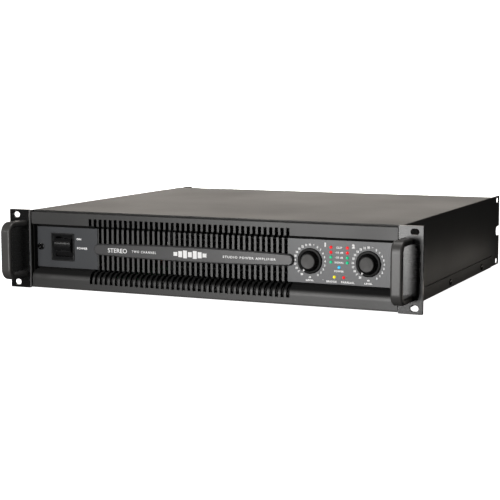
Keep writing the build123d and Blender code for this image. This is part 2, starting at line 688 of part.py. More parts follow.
# ---------------------------------------------------------------- fan
def make_fan_frame():
    """Square fan housing with a round duct and a motor seat on four struts."""
    half = FAN_SIZE / 2
    front = REAR_Y - SHEET - FAN_DEPTH
    rear = REAR_Y - SHEET
    with BuildPart() as frame:
        with BuildSketch(front_plane(rear)):
            RectangleRounded(FAN_SIZE, FAN_SIZE, 4.0)
            Circle(FAN_BORE_R, mode=Mode.SUBTRACT)
            with GridLocations(71.5, 71.5, 2, 2):
                Circle(2.2, mode=Mode.SUBTRACT)
        extrude(amount=FAN_DEPTH)
        rod(0, 0, FAN_HUB_R + 1, (front, front + 3))
        for angle in range(4):
            with BuildSketch(front_plane(front + 3)):
                with Locations(Location((0, 0, 0), 45 + 90 * angle)):
                    with Locations((half / 2 + 8, 0)):
                        Rectangle(half - 8, 4)
            extrude(amount=3)
        rod(0, 0, 1.5 + RUNNING_FIT, (front, front + 3), mode=Mode.SUBTRACT)
    return frame


def make_fan_rotor():
    """Seven-bladed impeller with its hub and axle."""
    front = REAR_Y - SHEET - FAN_DEPTH
    hub_span = (front + 3.6, REAR_Y - SHEET - 3)
    with BuildPart() as rotor:
        rod(0, 0, FAN_HUB_R, hub_span)
        rod(0, 0, 1.5, (front + 0.4, hub_span[0] + 1))
        blade_plane = Plane(origin=(0, (hub_span[0] + hub_span[1]) / 2, 0), z_dir=(1, 0, 0))
        for index in range(FAN_BLADES):
            turned = blade_plane.rotated((0, 360.0 / FAN_BLADES * index, 0), ordering=Intrinsic.XYZ)
            with BuildSketch(turned.offset(FAN_HUB_R - 1)):
                Rectangle(18.0, 1.6, rotation=38)
            extrude(amount=FAN_BORE_R - FAN_HUB_R - 0.6)
    return rotor


def make_fan_guard():
    """Finger guard of welded rings and spokes on the rear panel."""
    with BuildPart() as guard:
        for radius in (8.0, 16.0, 24.0, 32.0):
            with BuildSketch(front_plane(REAR_Y + 2.4)):
                Circle(radius + 0.8)
                Circle(radius - 0.8, mode=Mode.SUBTRACT)
            extrude(amount=1.6)
        for angle in (45, 135):
            with BuildSketch(front_plane(REAR_Y + 3.4)):
                with Locations(Location((0, 0, 0), angle)):
                    SlotOverall(104, 1.8)
            extrude(amount=1.4)
        with BuildSketch(front_plane(REAR_Y + 3.4)):
            with GridLocations(71.5, 71.5, 2, 2):
                Circle(4.2)
        extrude(amount=3.4)
        with BuildSketch(front_plane(REAR_Y + 4)):
            with GridLocations(71.5, 71.5, 2, 2):
                Circle(2.3)
        extrude(amount=5, mode=Mode.SUBTRACT)
    return guard


def make_fan_screws():
    """Four screws through guard, panel and fan corners."""
    with BuildPart() as screws:
        with BuildSketch(front_plane(REAR_Y + 3.4)):
            with GridLocations(71.5, 71.5, 2, 2):
                Circle(2.0)
        extrude(amount=3.4 + SHEET + FAN_DEPTH)
        with BuildSketch(front_plane(REAR_Y + 5.2)):
            with GridLocations(71.5, 71.5, 2, 2):
                Circle(3.5)
        extrude(amount=1.8)
        with BuildSketch(front_plane(REAR_Y + 5.5)):
            with GridLocations(71.5, 71.5, 2, 2):
                Circle(1.2)
        extrude(amount=1.2, mode=Mode.SUBTRACT)
    return screws


# ---------------------------------------------------------------- rear connectors
def make_xlr_input(x):
    """Round three-contact signal socket in a rectangular flange."""
    face = REAR_Y + FLANGE_THICK
    with BuildPart() as socket:
        with BuildSketch(front_plane(face)):
            with Locations((x, SOCKET_Z)):
                RectangleRounded(FLANGE_W, FLANGE_H, 2.5)
        extrude(amount=FLANGE_THICK)
        rod(x, SOCKET_Z, 11.9, (REAR_Y - 24, REAR_Y))
        rod(x, SOCKET_Z, 9.7, (REAR_Y - 13, face), mode=Mode.SUBTRACT)
        rod(x, SOCKET_Z, 7.4, (REAR_Y - 13, face - 1.2))
        with BuildSketch(front_plane(face)):
            for angle in (30, 150, 270):
                with Locations((x + 4.1 * cos(radians(angle)), SOCKET_Z + 4.1 * sin(radians(angle)))):
                    Circle(1.4)
        extrude(amount=10, mode=Mode.SUBTRACT)
        block((x - 3.4, x + 3.4), (REAR_Y - 8, face + 1),
              (SOCKET_Z + 9.0, SOCKET_Z + 14.4), mode=Mode.SUBTRACT)
        flange_holes(x, face)
    return socket


def flange_holes(x, face):
    """Two fixing holes at opposite corners of a connector flange."""
    with BuildSketch(front_plane(face)) as holes:
        with Locations((x - 9.5, SOCKET_Z + 12.0), (x + 9.5, SOCKET_Z - 12.0)):
            Circle(1.6)
    extrude(holes.sketch, amount=FLANGE_THICK, mode=Mode.SUBTRACT)


def make_xlr_latch(x):
    """Spring-loaded release tab above a signal socket."""
    face = REAR_Y + FLANGE_THICK
    with BuildPart() as latch:
        block((x - 3.1, x + 3.1), (REAR_Y - 6, face + 0.8), (SOCKET_Z + 11.4, SOCKET_Z + 14.1))
        chamfer(latch.faces().sort_by(Axis.Y)[-1].edges(), length=0.5)
    return latch


def make_speaker_socket(x):
    """Round twist-lock loudspeaker outlet with a keyed centre boss."""
    face = REAR_Y + FLANGE_THICK
    with BuildPart() as socket:
        with BuildSketch(front_plane(face)):
            with Locations((x, SOCKET_Z)):
                RectangleRounded(FLANGE_W, FLANGE_H, 2.5)
        extrude(amount=FLANGE_THICK)
        rod(x, SOCKET_Z, 11.9, (REAR_Y - 20, REAR_Y))
        rod(x, SOCKET_Z, 10.6, (REAR_Y - 17, face), mode=Mode.SUBTRACT)
        rod(x, SOCKET_Z, 5.6, (REAR_Y - 17, face - 1.5))
        block((x - 1.6, x + 1.6), (REAR_Y - 15, REAR_Y), (SOCKET_Z - 6.8, SOCKET_Z + 6.8))
        flange_holes(x, face)
    return socket


def make_mains_inlet():
    """Three-blade appliance inlet with a screwed flange."""
    face = REAR_Y + FLANGE_THICK
    with BuildPart() as inlet:
        with BuildSketch(front_plane(face)):
            with Locations((INLET_X, SOCKET_Z)):
                RectangleRounded(52.0, 27.0, 3.0)
        extrude(amount=FLANGE_THICK)
        with BuildSketch(front_plane(REAR_Y)):
            with Locations((INLET_X, SOCKET_Z)):
                RectangleRounded(30.0, 22.0, 2.0)
        extrude(amount=22)
        with BuildSketch(front_plane(face)):
            with Locations((INLET_X, SOCKET_Z)):
                RectangleRounded(27.0, 19.0, 2.0)
        extrude(amount=19, mode=Mode.SUBTRACT)
        for x, z in ((-8, -3.0), (0, 3.0), (8, -3.0)):
            block((INLET_X + x - 1, INLET_X + x + 1), (REAR_Y - 20, REAR_Y - 2),
                  (SOCKET_Z + z - 3.0, SOCKET_Z + z + 3.0))
        with BuildSketch(front_plane(face)):
            with Locations((INLET_X - 20, SOCKET_Z), (INLET_X + 20, SOCKET_Z)):
                Circle(1.7)
        extrude(amount=FLANGE_THICK, mode=Mode.SUBTRACT)
    return inlet


def make_breaker_body():
    """Push-to-reset breaker: collar outside the panel, body inside."""
    with BuildPart() as breaker:
        rod(BREAKER_X, SOCKET_Z, 5.4, (REAR_Y - SHEET, REAR_Y))
        rod(BREAKER_X, SOCKET_Z, 7.5, (REAR_Y, REAR_Y + 3.0))
        block((BREAKER_X - 7, BREAKER_X + 7), (REAR_Y - SHEET - 28, REAR_Y - SHEET),
              (SOCKET_Z - 12, SOCKET_Z + 12))
        rod(BREAKER_X, SOCKET_Z, 3.4, (REAR_Y - 12, REAR_Y + 3.5), mode=Mode.SUBTRACT)
    return breaker


def make_breaker_button():
    """Reset button of the breaker."""
    with BuildPart() as button:
        rod(BREAKER_X, SOCKET_Z, 3.1, (REAR_Y - 7.0, REAR_Y + 6.5))
        fillet(button.faces().sort_by(Axis.Y)[-1].edges(), radius=0.8)
    return button


def make_mode_switch_body():
    """Frame and contact block of the stereo, parallel and bridge selector."""
    with BuildPart() as switch:
        block((MODE_X - 6.3, MODE_X + 6.3), (REAR_Y - 9, REAR_Y), (SOCKET_Z - 2.3, SOCKET_Z + 2.3))
        block((MODE_X - 11, MODE_X + 11), (REAR_Y - 9, REAR_Y - SHEET), (SOCKET_Z - 5, SOCKET_Z + 5))
        block((MODE_X - 5.8, MODE_X + 5.8), (REAR_Y - 5, REAR_Y + 1),
              (SOCKET_Z - 1.8, SOCKET_Z + 1.8), mode=Mode.SUBTRACT)
    return switch


def make_mode_switch_slider():
    """Sliding tab of the mode selector, with grip ribs."""
    with BuildPart() as slider:
        block((MODE_X - 2.2, MODE_X + 2.2), (REAR_Y - 4.7, REAR_Y + 2.4), (SOCKET_Z - 1.5, SOCKET_Z + 1.5))
        for x in (-1.1, 0.0, 1.1):
            block((MODE_X + x - 0.2, MODE_X + x + 0.2), (REAR_Y + 2.0, REAR_Y + 2.5),
                  (SOCKET_Z - 1.6, SOCKET_Z + 1.6), mode=Mode.SUBTRACT)
    return slider


# ---------------------------------------------------------------- inside
def make_heat_sink(side):
    """Finned aluminium tunnel for one channel; fins run along the air flow."""
    near, far = side * SINK_X[0], side * SINK_X[1]
    base_z = FLOOR_TOP + BOARD_LIFT
    with BuildPart() as sink:
        block((far - side * 6, far), SINK_Y, (FLOOR_TOP, SINK_TOP))
        fins = 12
        pitch = (SINK_TOP - base_z - 2.0) / (fins - 1)
        for index in range(fins):
            fin_z = base_z + index * pitch
            block((near, far - side * 3), SINK_Y, (fin_z, fin_z + 2.0))
    return sink


def make_output_transistors():
    """Rows of power transistors clamped to the outer faces of both heat sinks."""
    with BuildPart() as transistors:
        for side in (-1, 1):
            face = side * SINK_X[1]
            for index in range(10):
                y = SINK_Y[0] + 14 + index * 22
                block((face, face + side * 5), (y, y + 16), (-4.0, 16.0))
    return transistors


def make_board(x_span, y_span):
    """Circuit board on standoffs above the pan."""
    base_z = FLOOR_TOP + BOARD_LIFT
    with BuildPart() as board:
        block(x_span, y_span, (base_z - BOARD_THICK, base_z))
    return board


def make_standoffs():
    """Round spacers between the pan and the two main boards."""
    with BuildPart() as spacers:
        for x in (-200.0, -96.0, 96.0, 200.0):
            for y in (52.0, 175.0, 298.0):
                with Locations((x, y, FLOOR_TOP + (BOARD_LIFT - BOARD_THICK) / 2)):
                    Cylinder(3.0, BOARD_LIFT - BOARD_THICK)
    return spacers


def make_capacitors():
    """Bank of upright filter capacitors on the power supply board."""
    base_z = FLOOR_TOP + BOARD_LIFT
    with BuildPart() as bank:
        for x in (112.0, 146.0, 180.0):
            for y in (70.0, 104.0):
                with Locations((x, y, base_z + 23)):
                    Cylinder(15.0, 46)
    return bank


def make_transformer():
    """Switch-mode power transformer: ferrite core with a winding on its middle leg."""
    base_z = FLOOR_TOP + BOARD_LIFT
    with BuildPart() as transformer:
        block((118.0, 188.0), (150.0, 200.0), (base_z, base_z + 52))
        for x in (136.0, 170.0):
            block((x - 6, x + 6), (149.0, 201.0), (base_z + 10, base_z + 42), mode=Mode.SUBTRACT)
        block((131.0, 175.0), (143.0, 207.0), (base_z + 11, base_z + 41))
    return transformer


def make_mains_choke():
    """Ring-core interference choke near the mains inlet."""
    with BuildPart() as choke:
        with Locations((150.0, 255.0, FLOOR_TOP + BOARD_LIFT + 11)):
            Cylinder(22.0, 22)
            Cylinder(9.0, 22, mode=Mode.SUBTRACT)
    return choke


def make_output_inductors():
    """Two ring-core output inductors on the amplifier board."""
    with BuildPart() as inductors:
        for y in (250.0, 200.0):
            with Locations((-150.0, y, FLOOR_TOP + BOARD_LIFT + 9)):
                Cylinder(18.0, 18)
                Cylinder(8.0, 18, mode=Mode.SUBTRACT)
    return inductors


def make_input_board():
    """Upright board behind the signal sockets and the mode selector."""
    with BuildPart() as board:
        block((-200.0, -70.0), (REAR_Y - 28, REAR_Y - 26.4), (-30.0, 30.0))
    return board


# ---------------------------------------------------------------- build everything
def main():
    """Build each piece and write it to the parts folder."""
    os.makedirs("parts", exist_ok=True)
    save(make_chassis_pan(), "chassis_pan")
    save(make_top_cover(), "top_cover")
    save(make_rear_panel(), "rear_panel")
    save(make_side_screws(), "side_screws")
    save(make_rear_screws(), "rear_panel_screws")
    for side, word in ((-1, "left"), (1, "right")):
        save(make_rack_ear(side), f"rack_ear_{word}")
        save(make_handle(side), f"handle_{word}")
        save(make_heat_sink(side), f"heat_sink_{word}")
    save(make_ear_screws(), "ear_screws")
    save(make_handle_screws(), "handle_screws")
    save(make_fascia(), "fascia")
    save(make_grille_panel(), "grille_panel")
    save(make_plate((-PLATE_X, SWITCH_PLATE_END)), "switch_plate")
    save(make_plate((CONTROL_PLATE_END, PLATE_X)), "control_plate")
    save(make_name_bar(), "name_bar")
    save(make_plate_screws(), "plate_screws")
    save(make_switch_bezel(), "power_switch_bezel")
    save(make_switch_rocker(), "power_switch_rocker")
    save(make_switch_body(), "power_switch_body")
    for number, x in enumerate(KNOB_XS, start=1):
        save(make_gain_knob(x), f"gain_knob_{number}")
        save(make_knob_cap(x), f"knob_cap_{number}")
        save(make_potentiometer(x), f"potentiometer_{number}")
        save(make_pot_shaft(x), f"pot_shaft_{number}")
    save(make_pot_nuts(), "pot_nuts")
    save(make_lamps(red_lamps()), "led_red")
    save(make_lamps(green_lamps()), "led_green")
    save(make_lamps([blue_lamp()]), "led_blue")
    save(make_lamps([yellow_lamp()]), "led_yellow")
    save(make_display_board(), "display_board")
    save(make_fan_frame(), "fan_frame")
    save(make_fan_rotor(), "fan_rotor")
    save(make_fan_guard(), "fan_guard")
    save(make_fan_screws(), "fan_screws")
    for number, x in enumerate(XLR_XS, start=1):
        save(make_xlr_input(x), f"xlr_input_{number}")
        save(make_xlr_latch(x), f"xlr_latch_{number}")
    for number, x in enumerate(SPEAKER_XS, start=1):
        save(make_speaker_socket(x), f"speaker_socket_{number}")
    save(make_mains_inlet(), "mains_inlet")
    save(make_breaker_body(), "breaker_body")
    save(make_breaker_button(), "breaker_button")
    save(make_mode_switch_body(), "mode_switch_body")
    save(make_mode_switch_slider(), "mode_switch_slider")
    save(make_output_transistors(), "output_transistors")
    save(make_board((-208.0, -90.0), (45.0, 330.0)), "amplifier_board")
    save(make_board((90.0, 208.0), (45.0, 330.0)), "power_supply_board")
    save(make_standoffs(), "board_standoffs")
    save(make_capacitors(), "filter_capacitors")
    save(make_transformer(), "power_transformer")
    save(make_mains_choke(), "mains_choke")
    save(make_output_inductors(), "output_inductors")
    save(make_input_board(), "input_board")


main()
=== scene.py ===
"""Looks of a two-unit rack-mount power amplifier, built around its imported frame.

Metres, X to the right seen from the front, Y towards the rear, Z up. The origin is the
centre of the four rack slots. Finished pieces sit at the origin with their place in their mesh.
"""
import logging
from dataclasses import dataclass
from enum import Enum
from math import cos, pi, radians, sin

import bmesh
import bpy
import numpy as np
from mathutils import Matrix, Vector

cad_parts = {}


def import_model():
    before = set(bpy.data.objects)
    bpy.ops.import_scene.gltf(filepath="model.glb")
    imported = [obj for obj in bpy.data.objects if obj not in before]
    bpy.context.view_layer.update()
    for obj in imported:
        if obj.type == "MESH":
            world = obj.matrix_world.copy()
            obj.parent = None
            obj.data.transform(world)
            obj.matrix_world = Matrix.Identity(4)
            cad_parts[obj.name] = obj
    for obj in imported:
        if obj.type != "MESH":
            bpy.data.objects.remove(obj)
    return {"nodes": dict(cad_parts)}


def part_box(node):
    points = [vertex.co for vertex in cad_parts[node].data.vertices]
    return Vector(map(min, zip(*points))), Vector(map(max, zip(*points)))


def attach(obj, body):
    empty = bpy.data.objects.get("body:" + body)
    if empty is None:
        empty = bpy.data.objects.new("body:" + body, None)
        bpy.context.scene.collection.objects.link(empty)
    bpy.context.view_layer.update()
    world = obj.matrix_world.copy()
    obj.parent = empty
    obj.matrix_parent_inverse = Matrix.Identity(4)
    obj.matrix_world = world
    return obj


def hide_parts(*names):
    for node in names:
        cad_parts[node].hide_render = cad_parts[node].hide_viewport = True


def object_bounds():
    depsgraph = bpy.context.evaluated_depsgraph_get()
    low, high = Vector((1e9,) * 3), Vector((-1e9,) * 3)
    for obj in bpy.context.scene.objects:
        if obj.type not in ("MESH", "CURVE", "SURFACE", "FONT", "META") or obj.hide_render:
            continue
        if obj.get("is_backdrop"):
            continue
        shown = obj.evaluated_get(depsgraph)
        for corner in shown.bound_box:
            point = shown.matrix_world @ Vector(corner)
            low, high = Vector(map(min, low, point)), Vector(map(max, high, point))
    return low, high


LOG = logging.getLogger("amplifier")
MM = 0.001
Colour = tuple[float, float, float]
Point = tuple[float, float, float]
Span = tuple[float, float]
# Painted shade: the colour laid on the fascia's top face and recesses, and on the tops of ribs and plates
# under the top band.
PAINTED_SHADE_BLACK: Colour = (0.001, 0.001, 0.001)
# Painted highlight: the colour laid on the ears' inner cut edge.
PAINTED_EDGE_HIGHLIGHT: Colour = (0.85, 0.85, 0.85)
TINNED_WIRE: Colour = (0.6, 0.6, 0.58)
TINNED_PAD: Colour = (0.62, 0.6, 0.55)
UNLIT: Colour = (0.0, 0.0, 0.0)


# ---------------------------------------------------------------- named choices
class Facing(Enum):
    """The way a turned or printed piece looks out: two axes across it and one outwards."""

    FRONT = ((1, 0, 0), (0, 0, 1), (0, -1, 0))
    REAR = ((-1, 0, 0), (0, 0, 1), (0, 1, 0))
    LEFT = ((0, -1, 0), (0, 0, 1), (-1, 0, 0))
    RIGHT = ((0, 1, 0), (0, 0, 1), (1, 0, 0))
    UP = ((1, 0, 0), (0, 1, 0), (0, 0, 1))

    def axes(self) -> np.ndarray:
        """Rows: across, up, outwards."""
        return np.array(self.value, float)


class Drive(Enum):
    """Recess in a screw head."""

    CROSS = "cross"
    HEX = "hex"


class Align(Enum):
    """How a line of lettering sits on its place."""

    CENTRE = 0.5
    LEFT = 0.0


class Grain(Enum):
    """Fine relief of a finish."""

    STIPPLE = "stipple"
    BRUSHED = "brushed"
    SPARK = "spark"
    TURNED = "turned"
    SMOOTH = "smooth"


# ---------------------------------------------------------------- shader building
class Value:
    """A node's output socket that adds Math nodes when it is used in an expression."""

    def __init__(self, tree: "Shader", socket: bpy.types.NodeSocket) -> None:
        """Wrap one output socket of a shader."""
        self.tree = tree
        self.socket = socket

    def _math(self, operation: str, first: object, second: object, clamp: bool = False) -> "Value":
        """Add one Math node.

        Args:
            operation: Math node operation.
            first: first operand, a number or a Value.
            second: second operand, a number or a Value.
            clamp: keep the result between 0 and 1.

        Returns:
            The result as a Value.
        """
        node = self.tree.node("ShaderNodeMath", {"operation": operation, "use_clamp": clamp},
                              {0: first, 1: second})
        return Value(self.tree, node.outputs[0])

    def __add__(self, other: object) -> "Value":
        """Sum."""
        return self._math("ADD", self, other)

    __radd__ = __add__

    def __mul__(self, other: object) -> "Value":
        """Product."""
        return self._math("MULTIPLY", self, other)

    __rmul__ = __mul__

    def __sub__(self, other: object) -> "Value":
        """Difference."""
        return self._math("SUBTRACT", self, other)

    def __rsub__(self, other: object) -> "Value":
        """Reflected difference."""
        return self._math("SUBTRACT", other, self)

    def __pow__(self, other: object) -> "Value":
        """Power."""
        return self._math("POWER", self, other)

    def __gt__(self, other: object) -> "Value":
        """1 where greater, else 0."""
        return self._math("GREATER_THAN", self, other)

    def __lt__(self, other: object) -> "Value":
        """1 where less, else 0."""
        return self._math("LESS_THAN", self, other)

    def clamped(self) -> "Value":
        """The same value kept between 0 and 1."""
        return self._math("ADD", self, 0.0, clamp=True)


class Shader:
    """One material's node tree."""

    def __init__(self, name: str) -> None:
        """Start an empty material called name."""
        self.material = bpy.data.materials.new(name)
        self.material.use_nodes = True
        self.tree = self.material.node_tree
        self.tree.nodes.clear()
        self.place = self.node("ShaderNodeTexCoord").outputs["Object"]

    def node(self, kind: str, settings: dict | None = None, inputs: dict | None = None) -> bpy.types.Node:
        """Add a node.

        Args:
            kind: node type.
            settings: properties set first; "stops" holds a ramp's (position, colour) pairs.
            inputs: socket name or index to a number, tuple, socket or Value.

        Returns:
            The new node.
        """
        node = self.tree.nodes.new(kind)
        for key, value in (settings or {}).items():
            if key == "stops":
                self._set_stops(node.color_ramp, value)
            else:
                setattr(node, key, value)
        for key, value in (inputs or {}).items():
            if isinstance(value, Value):
                value = value.socket
            if isinstance(value, bpy.types.NodeSocket):
                self.tree.links.new(value, node.inputs[key])
            else:
                node.inputs[key].default_value = value
        return node

    @staticmethod
    def _set_stops(ramp: bpy.types.ColorRamp, stops: list) -> None:
        """Give a colour ramp its stops."""
        while len(ramp.elements) < len(stops):
            ramp.elements.new(1.0)
        for element, (position, colour) in zip(ramp.elements, stops):
            element.position = position
            element.color = (*colour, 1.0)

    def stretched(self, scale: tuple, centre: tuple = (0, 0, 0)) -> bpy.types.NodeSocket:
        """Object coordinates about centre, multiplied axis by axis."""
        shift = tuple(-c * s for c, s in zip(centre, scale))
        node = self.node("ShaderNodeMapping", None,
                         {"Vector": self.place, "Scale": scale, "Location": shift})
        return node.outputs[0]

    def noise(self, scale: float, detail: float = 2.0, vector: object = None) -> Value:
        """Noise of about that many cells per metre."""
        node = self.node("ShaderNodeTexNoise", None,
                         {"Vector": vector or self.place, "Scale": scale, "Detail": detail})
        return Value(self, node.outputs[0])

    def cells(self, scale: float, vector: object = None, feature: str = "F1") -> Value:
        """Distance pattern of Voronoi cells."""
        node = self.node("ShaderNodeTexVoronoi", {"feature": feature},
                         {"Vector": vector or self.place, "Scale": scale})
        return Value(self, node.outputs["Distance"])

    def ramp(self, value: Value, stops: list) -> bpy.types.NodeSocket:
        """Colour looked up on a ramp."""
        return self.node("ShaderNodeValToRGB", {"stops": stops}, {0: value}).outputs[0]

    def step(self, value: Value, low: float, high: float) -> Value:
        """Smooth step from 0 at low to 1 at high."""
        node = self.node("ShaderNodeMapRange", {"interpolation_type": "SMOOTHSTEP"},
                         {"Value": value, "From Min": low, "From Max": high})
        return Value(self, node.outputs[0])

    def axis(self, name: str) -> Value:
        """One object coordinate, X, Y or Z."""
        return Value(self, self.node("ShaderNodeSeparateXYZ", None, {0: self.place}).outputs[name])

    def blend(self, factor: object, first: object, second: object) -> bpy.types.NodeSocket:
        """Colour mixed from first to second by factor."""
        colours = [c if isinstance(c, bpy.types.NodeSocket) else (*c, 1.0) for c in (first, second)]
        node = self.node("ShaderNodeMix", {"data_type": "RGBA"},
                         {"Factor": factor, 6: colours[0], 7: colours[1]})
        return node.outputs[2]

    def softened(self, radius: float) -> tuple[bpy.types.NodeSocket, Value]:
        """Edges rounded in the shading only.

        Returns:
            The rounded normal, and a mask that is 1 along edges.
        """
        soft = self.node("ShaderNodeBevel", {"samples": 4}, {"Radius": radius}).outputs[0]
        true = self.node("ShaderNodeNewGeometry").outputs["Normal"]
        dot = self.node("ShaderNodeVectorMath", {"operation": "DOT_PRODUCT"}, {0: soft, 1: true})
        return soft, self.step(Value(self, dot.outputs["Value"]), 0.985, 0.8)

    def finish(self, colour: object, roughness: object, normal: object = None, metallic: object = 0.0,
               fixed: dict | None = None) -> bpy.types.Material:
        """Close the tree with a Principled shader.

        Args:
            colour: base colour, or its socket.
            roughness: roughness, or its Value.
            normal: normal socket, if any.
            metallic: metallic, or its Value.
            fixed: further Principled inputs, set on the sockets themselves.

        Returns:
            The finished material.
        """
        if isinstance(colour, tuple):
            colour = (*colour, 1.0)
        inputs = {"Base Color": colour, "Roughness": roughness, "Metallic": metallic, **(fixed or {})}
        if normal is not None:
            inputs["Normal"] = normal
        shader = self.node("ShaderNodeBsdfPrincipled", None, inputs)
        self.node("ShaderNodeOutputMaterial", None, {0: shader.outputs[0]})
        return self.material


# ---------------------------------------------------------------- finishes
@dataclass(frozen=True)
class Finish:
    """A paint, metal or moulded surface.

    Attributes:
        slot: name of the record's material slot.
        colour: base colour, linear.
        roughness: mean roughness.
        grain: kind of fine relief.
        pitch: size of one grain, metres.
        depth: height of the relief, metres.
        mottle: share by which the colour varies.
        metallic: 1 for bare metal.
        specular: strength of the reflection.
        coat: weight of a clear coat.
        edge: colour along worn edges.
        edge_radius: how wide the rounded edge looks, metres.
        centre: axis of a turned finish, metres.
        painted_shade_above: height above which the colour is painted dead black as shade, metres.
        painted_shade_behind: depths between which the colour fades to painted dead-black shade, metres.
        painted_highlight_within: distance from the middle of the width within which the colour is painted
            near white as an edge highlight, metres.
    """

    slot: str
    colour: Colour
    roughness: float = 0.5
    grain: Grain = Grain.STIPPLE
    pitch: float = 0.8 * MM
    depth: float = 0.02 * MM
    mottle: float = 0.12
    metallic: float = 0.0
    specular: float = 0.5
    coat: float = 0.0
    edge: Colour = (0.12, 0.12, 0.12)
    edge_radius: float = 0.3 * MM
    centre: Point = (0.0, 0.0, 0.0)
    painted_shade_above: float = 1.0
    painted_shade_behind: Span = (1.0, 1.1)
    painted_highlight_within: float = 0.0

    def relief(self, shader: Shader) -> Value:
        """Height pattern of the grain, from 0 to 1."""
        cells_per_metre = 1 / self.pitch
        if self.grain is Grain.BRUSHED:
            along = shader.stretched((0.03, 1.0, 1.0))
            return shader.noise(cells_per_metre, 3.0, along)
        if self.grain is Grain.TURNED:
            flat = shader.stretched((1.0, 0.0, 1.0), self.centre)
            radius = shader.node("ShaderNodeVectorMath", {"operation": "LENGTH"}, {0: flat})
            rings = Value(shader, radius.outputs["Value"]) * (2 * pi * cells_per_metre)
            wave = shader.node("ShaderNodeMath", {"operation": "SINE"}, {0: rings})
            return Value(shader, wave.outputs[0]) * 0.5 + 0.5
        if self.grain is Grain.SPARK:
            return shader.cells(cells_per_metre) * 0.6 + shader.noise(cells_per_metre * 2.3) * 0.4
        if self.grain is Grain.STIPPLE:
            return shader.noise(cells_per_metre, 3.0) * 0.7 + shader.cells(cells_per_metre * 0.7) * 0.3
        return shader.noise(cells_per_metre * 0.1)

    def tint(self, shader: Shader) -> bpy.types.NodeSocket:
        """Base colour with slow clouds and fine flecks."""
        clouds = shader.noise(14.0, 4.0) * 0.65 + shader.noise(0.6 / self.pitch, 2.0) * 0.35
        low = tuple(c * (1 - self.mottle) for c in self.colour)
        high = tuple(min(1.0, c * (1 + self.mottle)) for c in self.colour)
        return shader.ramp(clouds, [(0.3, low), (0.7, high)])

    def build(self) -> bpy.types.Material:
        """Make the material: tint, worn edges, painted shade, a painted edge highlight, uneven gloss and
        fine relief.
        """
        shader = Shader(self.slot + "_finish")
        soft, edges = shader.softened(self.edge_radius)
        scuffs = shader.step(shader.noise(90.0, 5.0), 0.35, 0.7)
        colour = shader.blend(edges * scuffs, self.tint(shader), self.edge)
        # Painted shade: dead black above one height and behind one depth, where the top band and the recess
        # would shade the surface; these places are also made rough.
        lip = shader.axis("Z") > self.painted_shade_above
        recess = shader.step(shader.axis("Y"), *self.painted_shade_behind)
        black = (lip + recess).clamped()
        colour = shader.blend(black, colour, PAINTED_SHADE_BLACK)
        # Painted highlight: points nearer the middle than the given width, the ears' inner cut edge, are
        # coloured near white.
        across = shader.axis("X")
        colour = shader.blend((across * across) < self.painted_highlight_within ** 2, colour, PAINTED_EDGE_HIGHLIGHT)
        height = self.relief(shader)
        gloss = shader.noise(9.0, 5.0) * 0.16 - 0.08 + height * 0.08 + self.roughness - 0.04 + black
        bump = shader.node("ShaderNodeBump", None,
                           {"Height": height, "Distance": self.depth, "Strength": 1.0, "Normal": soft})
        fixed = {"Specular IOR Level": self.specular, "Coat Weight": self.coat, "Coat Roughness": 0.12}
        return shader.finish(colour, gloss.clamped(), bump.outputs[0], self.metallic, fixed)


@dataclass(frozen=True)
class LampLens:
    """Tinted lamp with a lit core; its leads behind the board are tinned wire."""

    slot: str
    colour: Colour
    glow: float
    lead_y: float

    def build(self) -> bpy.types.Material:
        """Lens colour in front, tinned wire behind the collar."""
        shader = Shader(self.slot + "_finish")
        lead = shader.axis("Y") > self.lead_y
        swirl = shader.noise(900.0, 2.0)
        pale = tuple(min(1.0, c * 1.25 + 0.006) for c in self.colour)
        colour = shader.blend(lead, shader.blend(swirl, self.colour, pale), TINNED_WIRE)
        glow = shader.blend(lead, self.colour, UNLIT)
        fixed = {"Emission Color": glow, "Emission Strength": self.glow, "Coat Weight": 0.25}
        bump = shader.node("ShaderNodeBump", None,
                           {"Height": swirl, "Distance": 0.01 * MM, "Strength": 0.4})
        return shader.finish(colour, lead * 0.25 + swirl * 0.08 + 0.14, bump.outputs[0], lead, fixed)


@dataclass(frozen=True)
class PrintInk:
    """Screen-printed ink, a little uneven where it lies on grained paint."""

    slot: str
    colour: Colour

    def build(self) -> bpy.types.Material:
        """Ink with faint pinholes and a fine surface."""
        shader = Shader(self.slot + "_ink")
        grain = shader.noise(2500.0, 3.0)
        low = tuple(c * 0.86 for c in self.colour)
        colour = shader.ramp(grain, [(0.25, low), (0.5, self.colour)])
        bump = shader.node("ShaderNodeBump", None,
                           {"Height": grain, "Distance": 0.01 * MM, "Strength": 0.5})
        return shader.finish(colour, grain * 0.15 + 0.45, bump.outputs[0])


@dataclass(frozen=True)
class BoardLaminate:
    """Solder-masked circuit board: raised copper tracks, tinned pads, woven glass beneath."""

    slot: str
    colour: Colour

    def build(self) -> bpy.types.Material:
        """Tracks from the edges of square cells, pads at a fixed pitch."""
        shader = Shader(self.slot + "_finish")
        pads = shader.step(shader.cells(200.0), 0.22, 0.16)
        tracks = shader.step(shader.cells(70.0, feature="DISTANCE_TO_EDGE"), 0.07, 0.04)
        weave = shader.noise(1400.0, 2.0, shader.stretched((1.0, 0.2, 1.0)))
        track, glass = (tuple(c * gain for c in self.colour) for gain in (1.9, 1.2))
        mask = shader.blend(tracks, shader.blend(weave, self.colour, glass), track)
        colour = shader.blend(pads, mask, TINNED_PAD)
        bump = shader.node("ShaderNodeBump", None,
                           {"Height": tracks * 0.7 + pads, "Distance": 0.07 * MM, "Strength": 1.0})
        return shader.finish(colour, 0.38 - pads * 0.12 + weave * 0.08, bump.outputs[0], pads)


